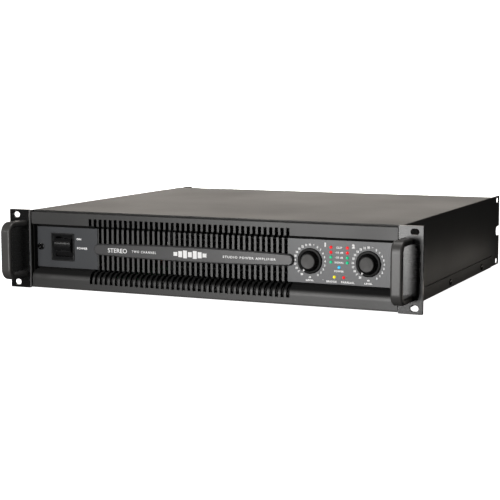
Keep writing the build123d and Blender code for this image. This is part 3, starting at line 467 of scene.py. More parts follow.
def finishes(lamp_lead_y: float, lip_z: float, floor_top: float, ear_inner: float,
             knob_centres: list[tuple]) -> dict[str, bpy.types.Material]:
    """Make every material of the amplifier.

    Args:
        lamp_lead_y: depth behind which a lamp is bare wire.
        lip_z: height of the fascia's top face, which is painted dead black as shade.
        floor_top: height above which plates and ribs are painted dead black as shade under the top band.
        ear_inner: distance of the ears' inner cut edge from the middle; that edge is painted near white as
            a highlight.
        knob_centres: axis of each knob, for the turned caps.

    Returns:
        Slot or finish name to material.
    """
    kinds = [
        Finish("case_paint", (0.022, 0.021, 0.020), 0.5, pitch=1.0 * MM, depth=0.03 * MM,
               edge=(0.1, 0.095, 0.09)),
        # Painted shade: the fascia's top face and its surfaces behind the front face, and the ribs and
        # plates above the recess floor, are painted dead black.
        Finish("fascia_paint", (0.03, 0.0298, 0.0295), 0.42, pitch=0.6 * MM, edge=(0.2, 0.2, 0.2),
               painted_shade_above=lip_z, painted_shade_behind=(2.9 * MM, 4.9 * MM)),
        Finish("rib_paint", (0.062, 0.062, 0.061), 0.42, pitch=0.6 * MM, edge=(0.14, 0.14, 0.14),
               painted_shade_above=floor_top),
        Finish("bar_paint", (0.055, 0.055, 0.056), 0.36, pitch=0.6 * MM, edge=(0.3, 0.3, 0.3)),
        Finish("plate_paint", (0.048, 0.051, 0.0555), 0.36, pitch=0.5 * MM, depth=0.012 * MM,
               edge=(0.35, 0.35, 0.35), painted_shade_above=floor_top),
        # The ears' inner cut edge gets a painted near-white highlight.
        Finish("ear_finish", (0.0025, 0.0025, 0.0025), 0.27, Grain.BRUSHED, 0.4 * MM, 0.008 * MM,
               specular=0.42, edge=(0.5, 0.5, 0.5), painted_highlight_within=ear_inner),
        Finish("handle_finish", (0.055, 0.0535, 0.052), 0.38, Grain.SPARK, 0.7 * MM, 0.01 * MM,
               edge=(0.1, 0.1, 0.1)),
        Finish("black_plastic", (0.014, 0.014, 0.015), 0.42, Grain.SPARK, 0.5 * MM, 0.012 * MM,
               edge=(0.04, 0.04, 0.04)),
        Finish("knob_plastic", (0.004, 0.004, 0.004), 0.45, Grain.SPARK, 0.5 * MM, 0.012 * MM,
               specular=0.18, edge=(0.02, 0.02, 0.02)),
        Finish("bezel_plastic", (0.013, 0.0135, 0.014), 0.3, Grain.SPARK, 0.5 * MM, 0.01 * MM,
               edge=(0.12, 0.12, 0.12)),
        Finish("dark_screw", (0.002, 0.002, 0.002), 0.12, Grain.SMOOTH, 0.5 * MM, 0.01 * MM,
               edge=(0.03, 0.03, 0.03), edge_radius=0.15 * MM),
        Finish("gloss_black", (0.008, 0.008, 0.0085), 0.27, Grain.SMOOTH, 0.6 * MM, 0.01 * MM,
               edge=(0.03, 0.03, 0.03)),
        Finish("steel", (0.5, 0.5, 0.51), 0.32, Grain.BRUSHED, 0.3 * MM, 0.006 * MM, metallic=1.0,
               edge=(0.7, 0.7, 0.7)),
        Finish("black_screw", (0.02, 0.02, 0.021), 0.35, Grain.SMOOTH, 0.5 * MM, 0.01 * MM,
               edge=(0.5, 0.5, 0.5), edge_radius=0.15 * MM),
        Finish("heat_sink", (0.006, 0.006, 0.0065), 0.6, Grain.BRUSHED, 0.5 * MM, 0.01 * MM,
               specular=0.2, edge=(0.02, 0.02, 0.02)),
        Finish("guard_chrome", (0.75, 0.75, 0.76), 0.14, Grain.SMOOTH, 1.0 * MM, 0.01 * MM, metallic=1.0,
               edge=(0.8, 0.8, 0.8)),
        Finish("capacitor_sleeve", (0.012, 0.03, 0.09), 0.3, Grain.SMOOTH, 2.0 * MM, 0.02 * MM, coat=0.4),
        Finish("ferrite", (0.045, 0.044, 0.046), 0.6, Grain.STIPPLE, 0.5 * MM, 0.03 * MM),
        Finish("copper_winding", (0.55, 0.2, 0.07), 0.28, Grain.SMOOTH, 0.5 * MM, 0.01 * MM, metallic=0.9,
               coat=0.5, edge=(0.6, 0.3, 0.12)),
        Finish("button_red", (0.5, 0.02, 0.02), 0.3, Grain.SPARK, 0.5 * MM, 0.008 * MM,
               edge=(0.6, 0.1, 0.08)),
        Finish("contact_gold", (0.85, 0.6, 0.25), 0.25, Grain.SMOOTH, 0.5 * MM, 0.004 * MM, metallic=1.0,
               edge=(0.9, 0.7, 0.3)),
        LampLens("lamp_red", (0.9, 0.015, 0.02), 0.75, lamp_lead_y),
        LampLens("lamp_green", (0.02, 0.55, 0.26), 0.55, lamp_lead_y),
        LampLens("lamp_blue", (0.01, 0.42, 0.75), 0.9, lamp_lead_y),
        LampLens("lamp_yellow", (0.9, 0.75, 0.03), 0.7, lamp_lead_y),
        PrintInk("white", (0.97, 0.97, 0.97)),
        BoardLaminate("circuit_board", (0.012, 0.075, 0.03)),
    ]
    made = {kind.slot: kind.build() for kind in kinds}
    for number, centre in enumerate(knob_centres, start=1):
        cap = Finish("cap_metal", (0.05, 0.049, 0.048), 0.4, Grain.TURNED, 0.45 * MM, 0.03 * MM,
                     metallic=0.3, specular=0.35, edge=(0.2, 0.2, 0.2), centre=centre)
        made[f"cap_metal_{number}"] = cap.build()
    return made


# ---------------------------------------------------------------- surfaces
def grid_faces(rows: int, columns: int, close_columns: bool) -> np.ndarray:
    """Quads of a rows by columns grid of points, joined round the columns if asked."""
    last = columns if close_columns else columns - 1
    i, j = np.meshgrid(np.arange(rows - 1), np.arange(last), indexing="ij")
    right = (j + 1) % columns
    near, far = i * columns, (i + 1) * columns
    return np.stack([near + j, near + right, far + right, far + j], -1).reshape(-1, 4)


def smooth_step(values: np.ndarray, low: float, high: float) -> np.ndarray:
    """0 below low, 1 above high, 3t squared minus 2t cubed between."""
    t = np.clip((values - low) / (high - low), 0, 1)
    return t * t * (3 - 2 * t)


class Piece:
    """Points and faces of one visible piece, gathered from several surfaces."""

    def __init__(self, name: str) -> None:
        """Start an empty piece."""
        self.name = name
        self.points: list[np.ndarray] = []
        self.faces: list[list[int]] = []
        self.count = 0

    def add(self, points: np.ndarray, faces: list) -> None:
        """Append points and the faces that index them from 0."""
        self.faces += [[int(v) + self.count for v in face] for face in faces]
        self.points.append(points.reshape(-1, 3))
        self.count += len(self.points[-1])

    def grid(self, points: np.ndarray, close_columns: bool = True) -> None:
        """Append a surface given as a rows by columns grid of points."""
        self.add(points, grid_faces(points.shape[0], points.shape[1], close_columns).tolist())

    def turned(self, profile: np.ndarray, centre: object, facing: Facing, sides: int = 48) -> None:
        """Append a surface of revolution: radius and height along the outward axis, carried round it."""
        angle = np.linspace(0, 2 * pi, sides, endpoint=False)
        radius, height = profile[:, :1], profile[:, 1:2]
        local = np.stack([radius * np.cos(angle), radius * np.sin(angle), height + 0 * angle], -1)
        self.grid(np.array(centre, float) + local @ facing.axes())

    def tube(self, path: np.ndarray, outwards: np.ndarray, radius: float, sides: int = 8,
             closed: bool = False) -> None:
        """Append a round bar: a circle of that radius carried square to a path.

        Args:
            path: points of the centre line.
            outwards: a direction at each point that isn't along the path.
            radius: radius of the bar.
            sides: points round the bar.
            closed: the path's ends meet.
        """
        if closed:
            tangent = np.roll(path, -1, 0) - np.roll(path, 1, 0)
        else:
            tangent = np.gradient(path, axis=0)
        tangent /= np.linalg.norm(tangent, axis=1, keepdims=True)
        side = np.cross(tangent, np.broadcast_to(outwards, path.shape))
        side /= np.linalg.norm(side, axis=1, keepdims=True)
        lift = np.cross(side, tangent)
        angle = np.linspace(0, 2 * pi, sides, endpoint=False)[None, :, None]
        rings = path[:, None] + radius * (np.cos(angle) * side[:, None] + np.sin(angle) * lift[:, None])
        if closed:
            rings = np.concatenate([rings, rings[:1]])
        else:
            ends = [np.repeat(path[k][None, None], sides, 1) for k in (0, -1)]
            rings = np.concatenate([ends[0], rings, ends[1]])
        self.grid(rings)

    def build(self, material: bpy.types.Material, body: str, slot: str, replaced: tuple = (),
              sharp: float = 35.0) -> bpy.types.Object:
        """Make the object and tie it to the frame.

        Args:
            material: finish of the piece.
            body: body it rides on.
            slot: record slot of its finish; not used.
            replaced: nodes that it stands for.
            sharp: angle in degrees above which an edge stays sharp.

        Returns:
            The finished object.
        """
        mesh = bpy.data.meshes.new(self.name)
        mesh.from_pydata(np.concatenate(self.points), [], self.faces)
        work = bmesh.new()
        work.from_mesh(mesh)
        bmesh.ops.remove_doubles(work, verts=work.verts, dist=1e-6)
        bmesh.ops.recalc_face_normals(work, faces=work.faces)
        work.to_mesh(mesh)
        work.free()
        mesh.polygons.foreach_set("use_smooth", np.ones(len(mesh.polygons), bool))
        mesh.set_sharp_from_angle(angle=radians(sharp))
        mesh.materials.append(material)
        made = bpy.data.objects.new(self.name, mesh)
        bpy.context.scene.collection.objects.link(made)
        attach(made, body)
        if replaced:
            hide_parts(*replaced)
        LOG.info("%s: %d faces on %s", self.name, len(mesh.polygons), body)
        return made


@dataclass(frozen=True)
class Screw:
    """A machine screw: recessed head and threaded shank, turned about its own axis."""

    head_r: float
    head_h: float
    shank_r: float
    length: float
    drive: Drive = Drive.CROSS
    dome: float = 0.5
    pitch: float = 0.7 * MM

    def recess(self, x: np.ndarray, y: np.ndarray) -> np.ndarray:
        """Depth share of the drive at each point of the head, 1 at its floor."""
        if self.drive is Drive.HEX:
            angle = np.arctan2(y, x)
            reach = np.hypot(x, y) * np.cos((angle % (pi / 3)) - pi / 6)
            return 1 - smooth_step(reach, 0.44 * self.head_r, 0.52 * self.head_r)
        half, long = 0.13 * self.head_r, 0.62 * self.head_r
        arms = [(1 - smooth_step(np.abs(a), half, half * 1.7))
                * (1 - smooth_step(np.abs(b), long * 0.8, long)) for a, b in ((x, y), (y, x))]
        return np.maximum(*arms)

    def add_to(self, piece: Piece, seat: object, facing: Facing) -> None:
        """Append the screw with its head seated at a point.

        The head's height is a parabola over its radius less the recess; the shank's radius
        is a sine of its height plus its angle, which winds the thread.
        """
        sides = 48
        angle = np.linspace(0, 2 * pi, sides, endpoint=False)[None, :]
        top_r = np.linspace(0, self.head_r, 16)[:, None]
        x, y = top_r * np.cos(angle), top_r * np.sin(angle)
        top = self.head_h * (1 - self.dome * (top_r / self.head_r) ** 2)
        top = top - 0.6 * self.head_h * self.recess(x, y)
        rim_r = np.array([self.head_r, self.head_r * 0.98, self.shank_r])[:, None]
        rim_h = np.array([self.head_h * 0.12, 0.0, 0.0])[:, None]
        depth = np.linspace(0.2 * MM, self.length, 36)[:, None]
        crest = 0.12 * MM * np.sin(2 * pi * depth / self.pitch + angle)
        shank_r = self.shank_r * 0.93 + crest
        zero = np.zeros_like(angle)
        radius = np.concatenate([top_r + zero, rim_r + zero, shank_r, zero])
        height = np.concatenate([top, rim_h + zero, -depth + zero, zero - self.length])
        local = np.stack([radius * np.cos(angle), radius * np.sin(angle), height], -1)
        piece.grid(np.array(seat, float) + local @ facing.axes())


@dataclass(frozen=True)
class Label:
    """One printed word or number: its middle (or left end) across the face, and its height."""

    text: str
    x: float
    z: float
    height: float
    width: float | None = None
    align: Align = Align.CENTRE
    weight: float = 0.0
    spacing: float = 1.0


class Printing:
    """Screen printing on one flat face."""

    def __init__(self, name: str, face: float, facing: Facing, ink: bpy.types.Material) -> None:
        """Start printing on the face at that Y."""
        self.piece = Piece(name)
        self.face = face
        self.facing = facing
        self.ink = ink
        self.film = 0.05 * MM

    def place(self, flat: np.ndarray, depth: np.ndarray) -> np.ndarray:
        """Points across the face, with a height from 0 at its foot to 1 at the ink's surface."""
        local = np.column_stack([flat, depth * self.film])
        out = self.facing.axes()
        return local @ out + np.array([0.0, self.face, 0.0])

    def write(self, label: Label) -> None:
        """Print one label; its glyphs are measured and fitted to the height and width asked for."""
        curve = bpy.data.curves.new("glyphs", "FONT")
        curve.body = label.text
        curve.resolution_u = 3
        curve.extrude = 0.01
        curve.offset = label.weight
        curve.space_character = label.spacing
        holder = bpy.data.objects.new("glyphs", curve)
        bpy.context.scene.collection.objects.link(holder)
        bpy.context.view_layer.update()
        mesh = bpy.data.meshes.new_from_object(holder)
        points = np.zeros(len(mesh.vertices) * 3)
        mesh.vertices.foreach_get("co", points)
        points = points.reshape(-1, 3)
        faces = [list(p.vertices) for p in mesh.polygons]
        low, high = points.min(0), points.max(0)
        tall = label.height / (high[1] - low[1])
        wide = tall if label.width is None else label.width / (high[0] - low[0])
        across = (points[:, 0] - low[0] - label.align.value * (high[0] - low[0])) * wide
        upwards = (points[:, 1] - (low[1] + high[1]) / 2) * tall
        sign = -1 if self.facing is Facing.REAR else 1
        flat = np.column_stack([sign * label.x + across, label.z + upwards])
        self.piece.add(self.place(flat, (points[:, 2] > 0).astype(float)), faces)
        bpy.data.objects.remove(holder)
        bpy.data.meshes.remove(mesh)
        bpy.data.curves.remove(curve)

    def shape(self, outline: np.ndarray) -> None:
        """Print one filled convex shape."""
        middle = np.repeat(outline.mean(0, keepdims=True), len(outline), 0)
        rows = [(middle, 0.0), (outline, 0.0), (outline, 1.0), (middle, 1.0)]
        grid = np.stack([self.place(flat, np.full(len(flat), depth)) for flat, depth in rows])
        self.piece.grid(grid)

    def build(self, body: str, slot: str) -> bpy.types.Object:
        """Make the printed piece."""
        return self.piece.build(self.ink, body, slot)


def middle_of(node: str) -> Vector:
    """Centre of a node's box."""
    low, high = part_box(node)
    return (low + high) / 2


def ring(centre: tuple, radius: float, sides: int) -> np.ndarray:
    """Points of a circle across a face."""
    angle = np.linspace(0, 2 * pi, sides, endpoint=False)
    return np.column_stack([centre[0] + radius * np.cos(angle), centre[1] + radius * np.sin(angle)])


# ---------------------------------------------------------------- sub-assemblies
@dataclass
class Dresser:
    """Gives carried-over nodes their finish and knows every material."""

    nodes: dict
    materials: dict

    def dress(self, material: str, *names: str) -> None:
        """Put one material on each named node."""
        for name in names:
            target = self.nodes[name]
            target.data.materials.clear()
            target.data.materials.append(self.materials[material])
            LOG.info("%s: %s", name, material)


@dataclass
class Case:
    """Folded case, its screws and the rear rack supports."""

    dresser: Dresser
    screw: Screw = Screw(3.5 * MM, 1.9 * MM, 1.9 * MM, 5.0 * MM)
    rear_screw: Screw = Screw(2.9 * MM, 1.8 * MM, 1.5 * MM, 7.0 * MM)
    side_screw_y: tuple = (47.3 * MM, 182.6 * MM, 317.9 * MM)
    rear_screw_x: tuple = (-200 * MM, -62 * MM, 62 * MM, 200 * MM)
    rear_screw_z: float = 38.2 * MM

    def build(self) -> None:
        """Dress the sheet metal and seat the case screws."""
        self.dresser.dress("case_paint", "top_cover", "chassis_pan", "rear_panel")
        steel = self.dresser.materials["black_screw"]
        sides = Piece("side_screw_set")
        z = middle_of("side_screws").z
        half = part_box("top_cover")[1].x
        for y in self.side_screw_y:
            self.screw.add_to(sides, (half, y, z), Facing.RIGHT)
            self.screw.add_to(sides, (-half, y, z), Facing.LEFT)
        sides.build(self.dresser.materials["dark_screw"], "amplifier", "black_screw", ("side_screws",))
        rears = Piece("rear_panel_screw_set")
        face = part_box("rear_panel")[1].y
        for x in self.rear_screw_x:
            for z in (-self.rear_screw_z, self.rear_screw_z):
                self.rear_screw.add_to(rears, (x, face, z), Facing.REAR)
        rears.build(steel, "amplifier", "black_screw", ("rear_panel_screws",))


@dataclass
class RackEars:
    """Rack ears, D handles and the screws between them."""

    dresser: Dresser
    ear_screw: Screw = Screw(4.0 * MM, 2.0 * MM, 2.0 * MM, 3.0 * MM)
    handle_screw: Screw = Screw(3.8 * MM, 3.0 * MM, 2.0 * MM, 15.0 * MM, Drive.HEX, 0.08)
    ear_screw_y: float = 24.0 * MM
    ear_screw_z: float = 24.0 * MM

    def build(self) -> None:
        """Dress ears and handles and seat their screws."""
        self.dresser.dress("ear_finish", "rack_ear_left", "rack_ear_right")
        self.dresser.dress("handle_finish", "handle_left", "handle_right")
        legs = Piece("ear_screw_set")
        posts = Piece("handle_screw_set")
        low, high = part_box("handle_screws")
        head = self.handle_screw.head_r
        for side, ear, facing in ((-1, "rack_ear_left", Facing.LEFT), (1, "rack_ear_right", Facing.RIGHT)):
            leg_x = side * (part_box("ear_screws")[1].x - self.ear_screw.head_h)
            for z in (-self.ear_screw_z, self.ear_screw_z):
                self.ear_screw.add_to(legs, (leg_x, self.ear_screw_y, z), facing)
            post_x = side * (high.x - head)
            for z in (low.z + head, high.z - head):
                self.handle_screw.add_to(posts, (post_x, high.y - self.handle_screw.head_h, z), Facing.REAR)
        steel = self.dresser.materials["black_screw"]
        legs.build(steel, "amplifier", "black_screw", ("ear_screws",))
        posts.build(steel, "amplifier", "black_screw", ("handle_screws",))


@dataclass
class Fascia:
    """Slotted front frame, recess floor, printed plates and the bowed name bar."""

    dresser: Dresser
    axis_z: float = 2.1 * MM
    plate_screw: Screw = Screw(3.9 * MM, 1.6 * MM, 1.6 * MM, 5.0 * MM, Drive.HEX, 0.25)
    bar_words: tuple = (
        Label("STEREO", -108 * MM, 2.0 * MM, 4.9 * MM, 24 * MM, weight=0.012),
        Label("TWO CHANNEL", -75 * MM, 2.0 * MM, 2.6 * MM, 30 * MM, weight=0.02, spacing=1.4),
        Label("STUDIO POWER AMPLIFIER", 50 * MM, 1.9 * MM, 2.6 * MM, 61 * MM, weight=0.03, spacing=1.3),
    )
    emblem_x: Span = (-39.5 * MM, 1.1 * MM)
    emblem_heights: tuple = (0.5, 0.78, 1.0, 0.66, 1.0, 0.78, 0.5)
    emblem_tall: float = 8.4 * MM
    switch_words: tuple = (
        Label("ON", -158.9 * MM, 12.0 * MM, 2.4 * MM, 6.0 * MM, weight=0.06),
        Label("POWER", -154.7 * MM, 1.9 * MM, 2.4 * MM, 13.6 * MM, weight=0.05, spacing=1.15),
    )

    def build(self) -> None:
        """Dress the front and print on it."""
        self.dresser.dress("fascia_paint", "fascia")
        self.dresser.dress("rib_paint", "grille_panel")
        self.dresser.dress("bar_paint", "name_bar")
        self.dresser.dress("plate_paint", "switch_plate", "control_plate")
        ink = self.dresser.materials["white"]
        bar = Printing("name_bar_print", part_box("name_bar")[0].y, Facing.FRONT, ink)
        for label in self.bar_words:
            bar.write(label)
        self.print_emblem(bar)
        bar.build("amplifier", "plate_paint")
        plate = Printing("switch_plate_print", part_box("switch_plate")[0].y, Facing.FRONT, ink)
        for label in self.switch_words:
            plate.write(label)
        plate.build("amplifier", "plate_paint")
        screws = Piece("plate_screw_set")
        low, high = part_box("plate_screws")
        reach = high.x - self.plate_screw.head_r
        for x in (-reach, reach):
            self.plate_screw.add_to(screws, (x, low.y + self.plate_screw.head_h, self.axis_z), Facing.FRONT)
        screws.build(self.dresser.materials["dark_screw"], "amplifier", "black_screw", ("plate_screws",))

    def print_emblem(self, bar: Printing) -> None:
        """A row of level bars, tallest in the middle."""
        count = len(self.emblem_heights)
        pitch = (self.emblem_x[1] - self.emblem_x[0]) / count
        for index, share in enumerate(self.emblem_heights):
            x = self.emblem_x[0] + pitch * (index + 0.5)
            half_w, half_h = pitch * 0.4, self.emblem_tall * share / 2
            z = self.axis_z
            bar.shape(np.array([(x - half_w, z - half_h), (x + half_w, z - half_h),
                                (x + half_w, z + half_h), (x - half_w, z + half_h)]))


@dataclass
class PowerSwitch:
    """Rocker switch with its funnel-shaped frame."""

    dresser: Dresser

    def build(self) -> None:
        """Dress the frame, the rocker and the contact block."""
        self.dresser.dress("bezel_plastic", "power_switch_bezel")
        self.dresser.dress("black_plastic", "power_switch_body")
        self.dresser.dress("gloss_black", "power_switch_rocker")


@dataclass
class GainKnob:
    """Fluted knob on its skirt, with a dished cap and a white pointer."""

    dresser: Dresser
    number: int
    flutes: int = 36
    flute_depth: float = 0.45 * MM
    tip_r: float = 8.3 * MM
    base_r: float = 10.6 * MM
    skirt_r: float = 13.4 * MM
    pocket_r: float = 7.25 * MM
    pointer_angle: float = -147.5
    pointer_r: Span = (10.9 * MM, 13.1 * MM)
    pointer_half: float = 1.25 * MM
    dial_r: float = 16.7 * MM
    dial_span: float = 148.0
    top_figure: int = 20
    figure_height: float = 2.35 * MM
    skirt_thick: float = 1.4 * MM
    pocket_depth: float = 1.35 * MM
    hollow_r: float = 8.3 * MM
    hollow_depth: float = 2.9 * MM
    bore_r: float = 3.1 * MM
    bore_depth: float = 3.4 * MM

    def build(self) -> None:
        """Replace the plain knob, and print pointer and dial."""
        body = f"gain_control_{self.number}"
        node = f"gain_knob_{self.number}"
        low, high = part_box(node)
        centre = (low + high) / 2
        knob = Piece(f"fluted_knob_{self.number}")
        knob.grid(self.surface(centre, low.y, high.y))
        knob.build(self.dresser.materials["knob_plastic"], body, "black_plastic", (node,), sharp=28.0)
        self.dresser.dress(f"cap_metal_{self.number}", f"knob_cap_{self.number}")
        self.dresser.dress("steel", f"pot_shaft_{self.number}", f"potentiometer_{self.number}")
        self.print_pointer(centre, body)
        self.print_dial(centre)

    def surface(self, centre: Vector, front: float, rear: float) -> np.ndarray:
        """Radius along the knob's profile, less a rounded flute on the cone.

        A flute's depth is its full depth times the square of the sine of half the angle times
        the number of flutes, fading out at both ends of the cone.

        Returns:
            Grid of points, profile by angle.
        """
        skirt_front = rear - self.skirt_thick
        cone = np.linspace(0, 1, 16)
        cone_r = self.tip_r + (self.base_r - self.tip_r) * cone
        cone_y = front + 0.5 * MM + (skirt_front - 0.25 * MM - front - 0.5 * MM) * cone
        profile = np.array([
            (0.0, front + self.pocket_depth), (self.pocket_r, front + self.pocket_depth),
            (self.pocket_r, front + 0.1 * MM),
            (self.pocket_r + 0.1 * MM, front), (self.tip_r - 0.5 * MM, front),
            (self.tip_r - 0.15 * MM, front + 0.15 * MM),
            *zip(cone_r, cone_y),
            (self.base_r + 0.35 * MM, skirt_front), (self.skirt_r - 0.9 * MM, skirt_front),
            (self.skirt_r - 0.25 * MM, skirt_front + 0.3 * MM), (self.skirt_r, rear - 0.4 * MM),
            (self.skirt_r, rear), (self.hollow_r, rear), (self.hollow_r, rear - self.hollow_depth),
            (self.bore_r, rear - self.hollow_depth), (self.bore_r, rear - self.bore_depth),
            (0.0, rear - self.bore_depth)])
        angle = np.linspace(0, 2 * pi, self.flutes * 8, endpoint=False)
        share = np.zeros(len(profile))
        share[6:6 + len(cone)] = np.sin(pi * np.clip(cone * 0.9 + 0.12, 0, 1)) ** 0.5
        flute = self.flute_depth * share[:, None] * np.sin(self.flutes * angle / 2)[None, :] ** 2
        radius = profile[:, :1] - flute
        return np.stack([centre.x + radius * np.sin(angle), profile[:, 1:] + 0 * radius,
                         centre.z + radius * np.cos(angle)], -1)

    def print_pointer(self, centre: Vector, body: str) -> None:
        """White arrowhead on the skirt, its tip at the rim."""
        turn = radians(self.pointer_angle)
        outward = np.array([sin(turn), cos(turn)])
        across = np.array([cos(turn), -sin(turn)])
        hub = np.array([centre.x, centre.z])
        inner, outer = self.pointer_r
        outline = np.array([hub + outward * outer, hub + outward * inner + across * self.pointer_half,
                            hub + outward * inner - across * self.pointer_half])
        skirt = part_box(f"gain_knob_{self.number}")[1].y - self.skirt_thick
        ink = self.dresser.materials["white"]
        pointer = Printing(f"knob_pointer_{self.number}", skirt, Facing.FRONT, ink)
        pointer.shape(outline)
        pointer.build(body, "plate_paint")

    def print_dial(self, centre: Vector) -> None:
        """Attenuation figures round the knob, 20 down to 0, and the unit below them."""
        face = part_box("control_plate")[0].y
        dial = Printing(f"dial_print_{self.number}", face, Facing.FRONT, self.dresser.materials["white"])
        steps = self.top_figure
        for index in range(steps + 1):
            turn = radians(-self.dial_span + 2 * self.dial_span * index / steps)
            dial.write(Label(str(steps - index), centre.x + self.dial_r * sin(turn),
                             centre.z + self.dial_r * cos(turn), self.figure_height, weight=0.08))
        dial.write(Label("dB", centre.x, centre.z - 16.8 * MM, 1.9 * MM, weight=0.06, spacing=1.15))
        dial.write(Label("LEVEL", centre.x, centre.z - 20.0 * MM, 1.8 * MM, 8.6 * MM, weight=0.06,
                         spacing=1.15))
        dial.build("amplifier", "plate_paint")


@dataclass
class ControlPanel:
    """Lamps, their captions, both gain knobs and the board behind them."""

    dresser: Dresser
    channel_x: Span = (133.9 * MM, 164.4 * MM)
    channel_z: Span = (19.7 * MM, 19.3 * MM)
    channel_height: float = 4.4 * MM
    captions: tuple = (
        ("CLIP", 149.1 * MM, 17.2 * MM, 6.4 * MM), ("-10 dB", 149.1 * MM, 12.2 * MM, 8.6 * MM),
        ("-20 dB", 149.1 * MM, 7.1 * MM, 8.6 * MM), ("SIGNAL", 149.1 * MM, 2.0 * MM, 10.0 * MM),
        ("POWER", 149.1 * MM, -7.0 * MM, 10.4 * MM), ("BRIDGE", 140.9 * MM, -17.9 * MM, 11.0 * MM),
        ("PARALLEL", 158.6 * MM, -17.9 * MM, 14.4 * MM),
    )
    caption_height: float = 2.05 * MM
    dot_at: Span = (131.65 * MM, -16.6 * MM)
    dot_r: float = 0.35 * MM

    def build(self) -> None:
        """Print the plate, dress the lamps and build the knobs."""
        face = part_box("control_plate")[0].y
        plate = Printing("control_plate_print", face, Facing.FRONT, self.dresser.materials["white"])
        for figure, x, z in zip(("1", "2"), self.channel_x, self.channel_z):
            plate.write(Label(figure, x, z, self.channel_height, weight=0.1))
        for text, x, z, width in self.captions:
            plate.write(Label(text, x, z, self.caption_height, width, weight=0.05, spacing=1.2))
        plate.shape(ring(self.dot_at, self.dot_r, 12))
        plate.build("amplifier", "plate_paint")
        for colour in ("red", "green", "blue", "yellow"):
            self.dresser.dress(f"lamp_{colour}", f"led_{colour}")
        self.dresser.dress("circuit_board", "display_board")
        self.dresser.dress("steel", "pot_nuts")
        for number in (1, 2):
            GainKnob(self.dresser, number).build()


